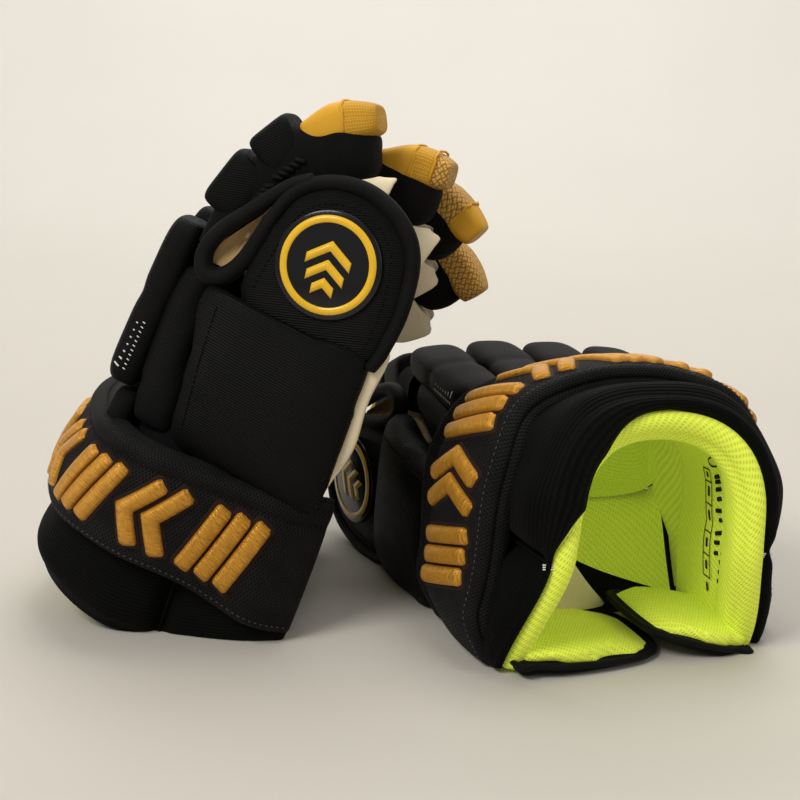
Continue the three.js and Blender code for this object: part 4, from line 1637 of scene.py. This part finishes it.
def leather_shape(side, name, start, end, last):
    """Grid of the suede under a finger; on its thumb side a ragged edge hangs free."""
    s = np.linspace(start, end, 26)
    row = FINGERS[name]["row"]
    ragged = 1.0 + 0.10 * np.sin(s * 0.9 + row) + 0.07 * np.sin(s * 2.3) + 0.05 * np.sin(s * 4.1)
    round_end = np.ones_like(s)
    if last:
        round_end = 0.3 + 0.7 * np.sqrt(np.clip(1 - ((s - start) / (end - start)) ** 5, 0, 1))
    across = np.linspace(-1, 1, 13)
    y = 12.2 * (round_end)[:, None] * across[None]
    up = 2.8 * (np.clip(np.abs(across) - 0.72, 0, 1) / 0.28)[None] ** 2 + 0 * y
    most, centre, spread = FRINGE[name]
    hang = most * ragged * bell(s, centre, spread) * (1 - 0.8 * smooth(s, end - 3, end) * last)
    drop = np.linspace(0, 1, 7)[1:]
    fringe_y = y[:, -1:] + 1.2 * np.sin(np.pi * drop)[None] + 0.7 * np.sin(s * 0.8)[:, None] * drop
    fringe_up = up[:, -1:] - hang[:, None] * drop[None]
    y, up = np.concatenate([y, fringe_y], 1), np.concatenate([up, fringe_up], 1)
    lean = np.concatenate([np.zeros(across.shape), 7.0 * drop ** 1.5])[None]
    lean = lean * smooth(s, centre - spread, centre + spread)[:, None] * last
    x0, z0, angle = sleeve_path(side, name, s[:, None] + lean)
    sheets = []
    for thick_y, thick_up in ((0.0, 0.2), (-0.7, -1.1)):
        height = up + sleeve_low(s)[:, None] + thick_up
        sheets.append(np.stack([x0 + height * np.sin(angle), y + thick_y + row * PITCH,
                                z0 + height * np.cos(angle)], -1))
    return between_sheets(*sheets)


def seam_cord(side, name, part, body, axes, length, slopes, scale):
    """The twisted stitching where a pad meets the jersey, on both sides of the finger."""
    low = FINGER["roll_low"] * scale + 1.8
    width = FINGER["width"] * scale / 2 + 0.3
    parts = []
    for sign in (-1, 1):
        count = max(4, int(length / 2.2))
        for k in range(count):
            x = mix(-low * slopes[0] + 2, length + low * slopes[1] - 2, k / (count - 1))
            a = np.array([x - 1.2, sign * (width - 0.6), low + 1.5])
            b = np.array([x + 1.2, sign * (width - 0.2), low - 1.5])
            middle = (a + b) / 2 + np.array([0, sign * 0.7, 0])
            parts.append(tube(curve([a, middle, b], 6), 1.0, (0, sign, 0), sides=7))
    make(f"{side}_{name}_{part}_seam", parts, axes, "binding", body)


def tip_seams(side, name, body, axes, breaks, scale):
    """The puckered seams across a fingertip."""
    parts = []
    for at in breaks:
        angle = np.linspace(-0.1 * np.pi, 1.1 * np.pi, 30)
        width, height = FINGER["width"] * scale, FINGER["height"] * scale
        low = FINGER["pad_low"] * scale
        y = (width / 2 + 0.1) * power(np.cos(angle), 0.55)
        z = (height + low) / 2 + ((height - low) / 2 + 0.1) * power(np.sin(angle), 0.55)
        line = np.stack([np.full(30, at) + 0.3 * np.sin(angle * 9), y, z], -1)
        parts.append(tube(line, 0.5, (1, 0, 0), sides=7))
    if parts:
        make(f"{side}_{name}_tip_seams", parts, axes, "gold", body)


def hand(side, panel, pad):
    palm(side)
    hand_skin(side)
    back_rolls(side)
    wrist_rolls(side)
    index_side(side)
    little_side(side)
    side_panel(side, panel)
    wrist_gaiter(side)
    thumb(side, pad)
    for name in FINGERS:
        finger(side, name)


# ---- Room, light and camera ---------------------------------------------------------------

def room():
    """A plain sweep of pale paper: floor, curve and wall."""
    depth = [(-3.0, 0), (1.0, 0)]
    bend = [(1.0 + 0.8 * math.sin(a), 0.8 - 0.8 * math.cos(a))
            for a in np.linspace(0.05, np.pi / 2, 16)]
    profile = np.array(depth + bend + [(1.8, 3.0)])
    x = np.linspace(-3, 3, 9)
    points = np.stack(np.broadcast_arrays(x[:, None], *profile.T[:, None]), -1)
    floor = surface("paper_sweep", points, Matrix.Identity(4), floor_paper("paper"))


def area_light(name, place, aim, size, watts, colour=(1, 1, 1)):
    lamp = bpy.data.lights.new(name, "AREA")
    lamp.shape = "RECTANGLE"
    lamp.size, lamp.size_y = size
    lamp.energy = watts
    lamp.color = colour
    holder = bpy.data.objects.new(name, lamp)
    holder.location = place
    holder.rotation_euler = (Vector(aim) - Vector(place)).to_track_quat("-Z", "Y").to_euler()
    bpy.context.scene.collection.objects.link(holder)


def lights():
    world = bpy.data.worlds.new("soft")
    world.use_nodes = True
    world.node_tree.nodes["Background"].inputs["Color"].default_value = (1.0, 0.985, 0.955, 1)
    world.node_tree.nodes["Background"].inputs["Strength"].default_value = 0.40
    bpy.context.scene.world = world
    area_light("key", (-0.75, -0.95, 1.25), (0, 0, 0.08), (0.7, 0.5), 17, (1.0, 0.98, 0.95))
    area_light("top", (0.25, 0.25, 1.5), (0, 0, 0.05), (1.0, 0.8), 11, (1.0, 0.99, 0.97))
    area_light("fill", (1.1, -0.9, 0.7), (0, 0, 0.08), (0.8, 0.8), 2)
    area_light("back", (0.0, 1.4, 1.6), (0, 1.9, 0.6), (2.5, 0.8), 33, (0.98, 1.0, 1.05))


CAMERA = {"lens": 70, "distance": 0.590, "elevation": 14, "aim": (0.0003, -0.07185, 0.100)}


def camera():
    lens = bpy.data.cameras.new("camera")
    lens.lens = CAMERA["lens"]
    lens.sensor_width = 36
    lens.clip_start = 0.05
    holder = bpy.data.objects.new("camera", lens)
    tilt = math.radians(CAMERA["elevation"])
    back = Vector((0, -math.cos(tilt), math.sin(tilt)))
    holder.location = Vector(CAMERA["aim"]) + back * CAMERA["distance"]
    holder.rotation_euler = (math.pi / 2 - tilt, 0, 0)
    bpy.context.scene.collection.objects.link(holder)
    bpy.context.scene.camera = holder


# ---- The pair -----------------------------------------------------------------------------

panel_shape, pad_blown = side_panel_shape(), thumb_shape()
INDEX_SIDE = inflated(*pillow(curve(INDEX_SIDE_OUTLINE, 60, closed=True), 41, 52.5), cap=1.5)
FLAP_SHAPES = {}
for flap in ("thumb", "little"):
    FLAP_SHAPES[flap, "pad"] = flap_shape(flap, -1.8, 6.6, 3.4, 1.5, 1.2)
    FLAP_SHAPES[flap, "base"] = flap_shape(flap, -6.2, 2.2, 3.2, 0, 0.4)
for glove_side in SIDES:
    cuff(glove_side)
    hand(glove_side, panel_shape, pad_blown)
room()
lights()
camera()
bpy.context.scene.view_settings.view_transform = "Standard"
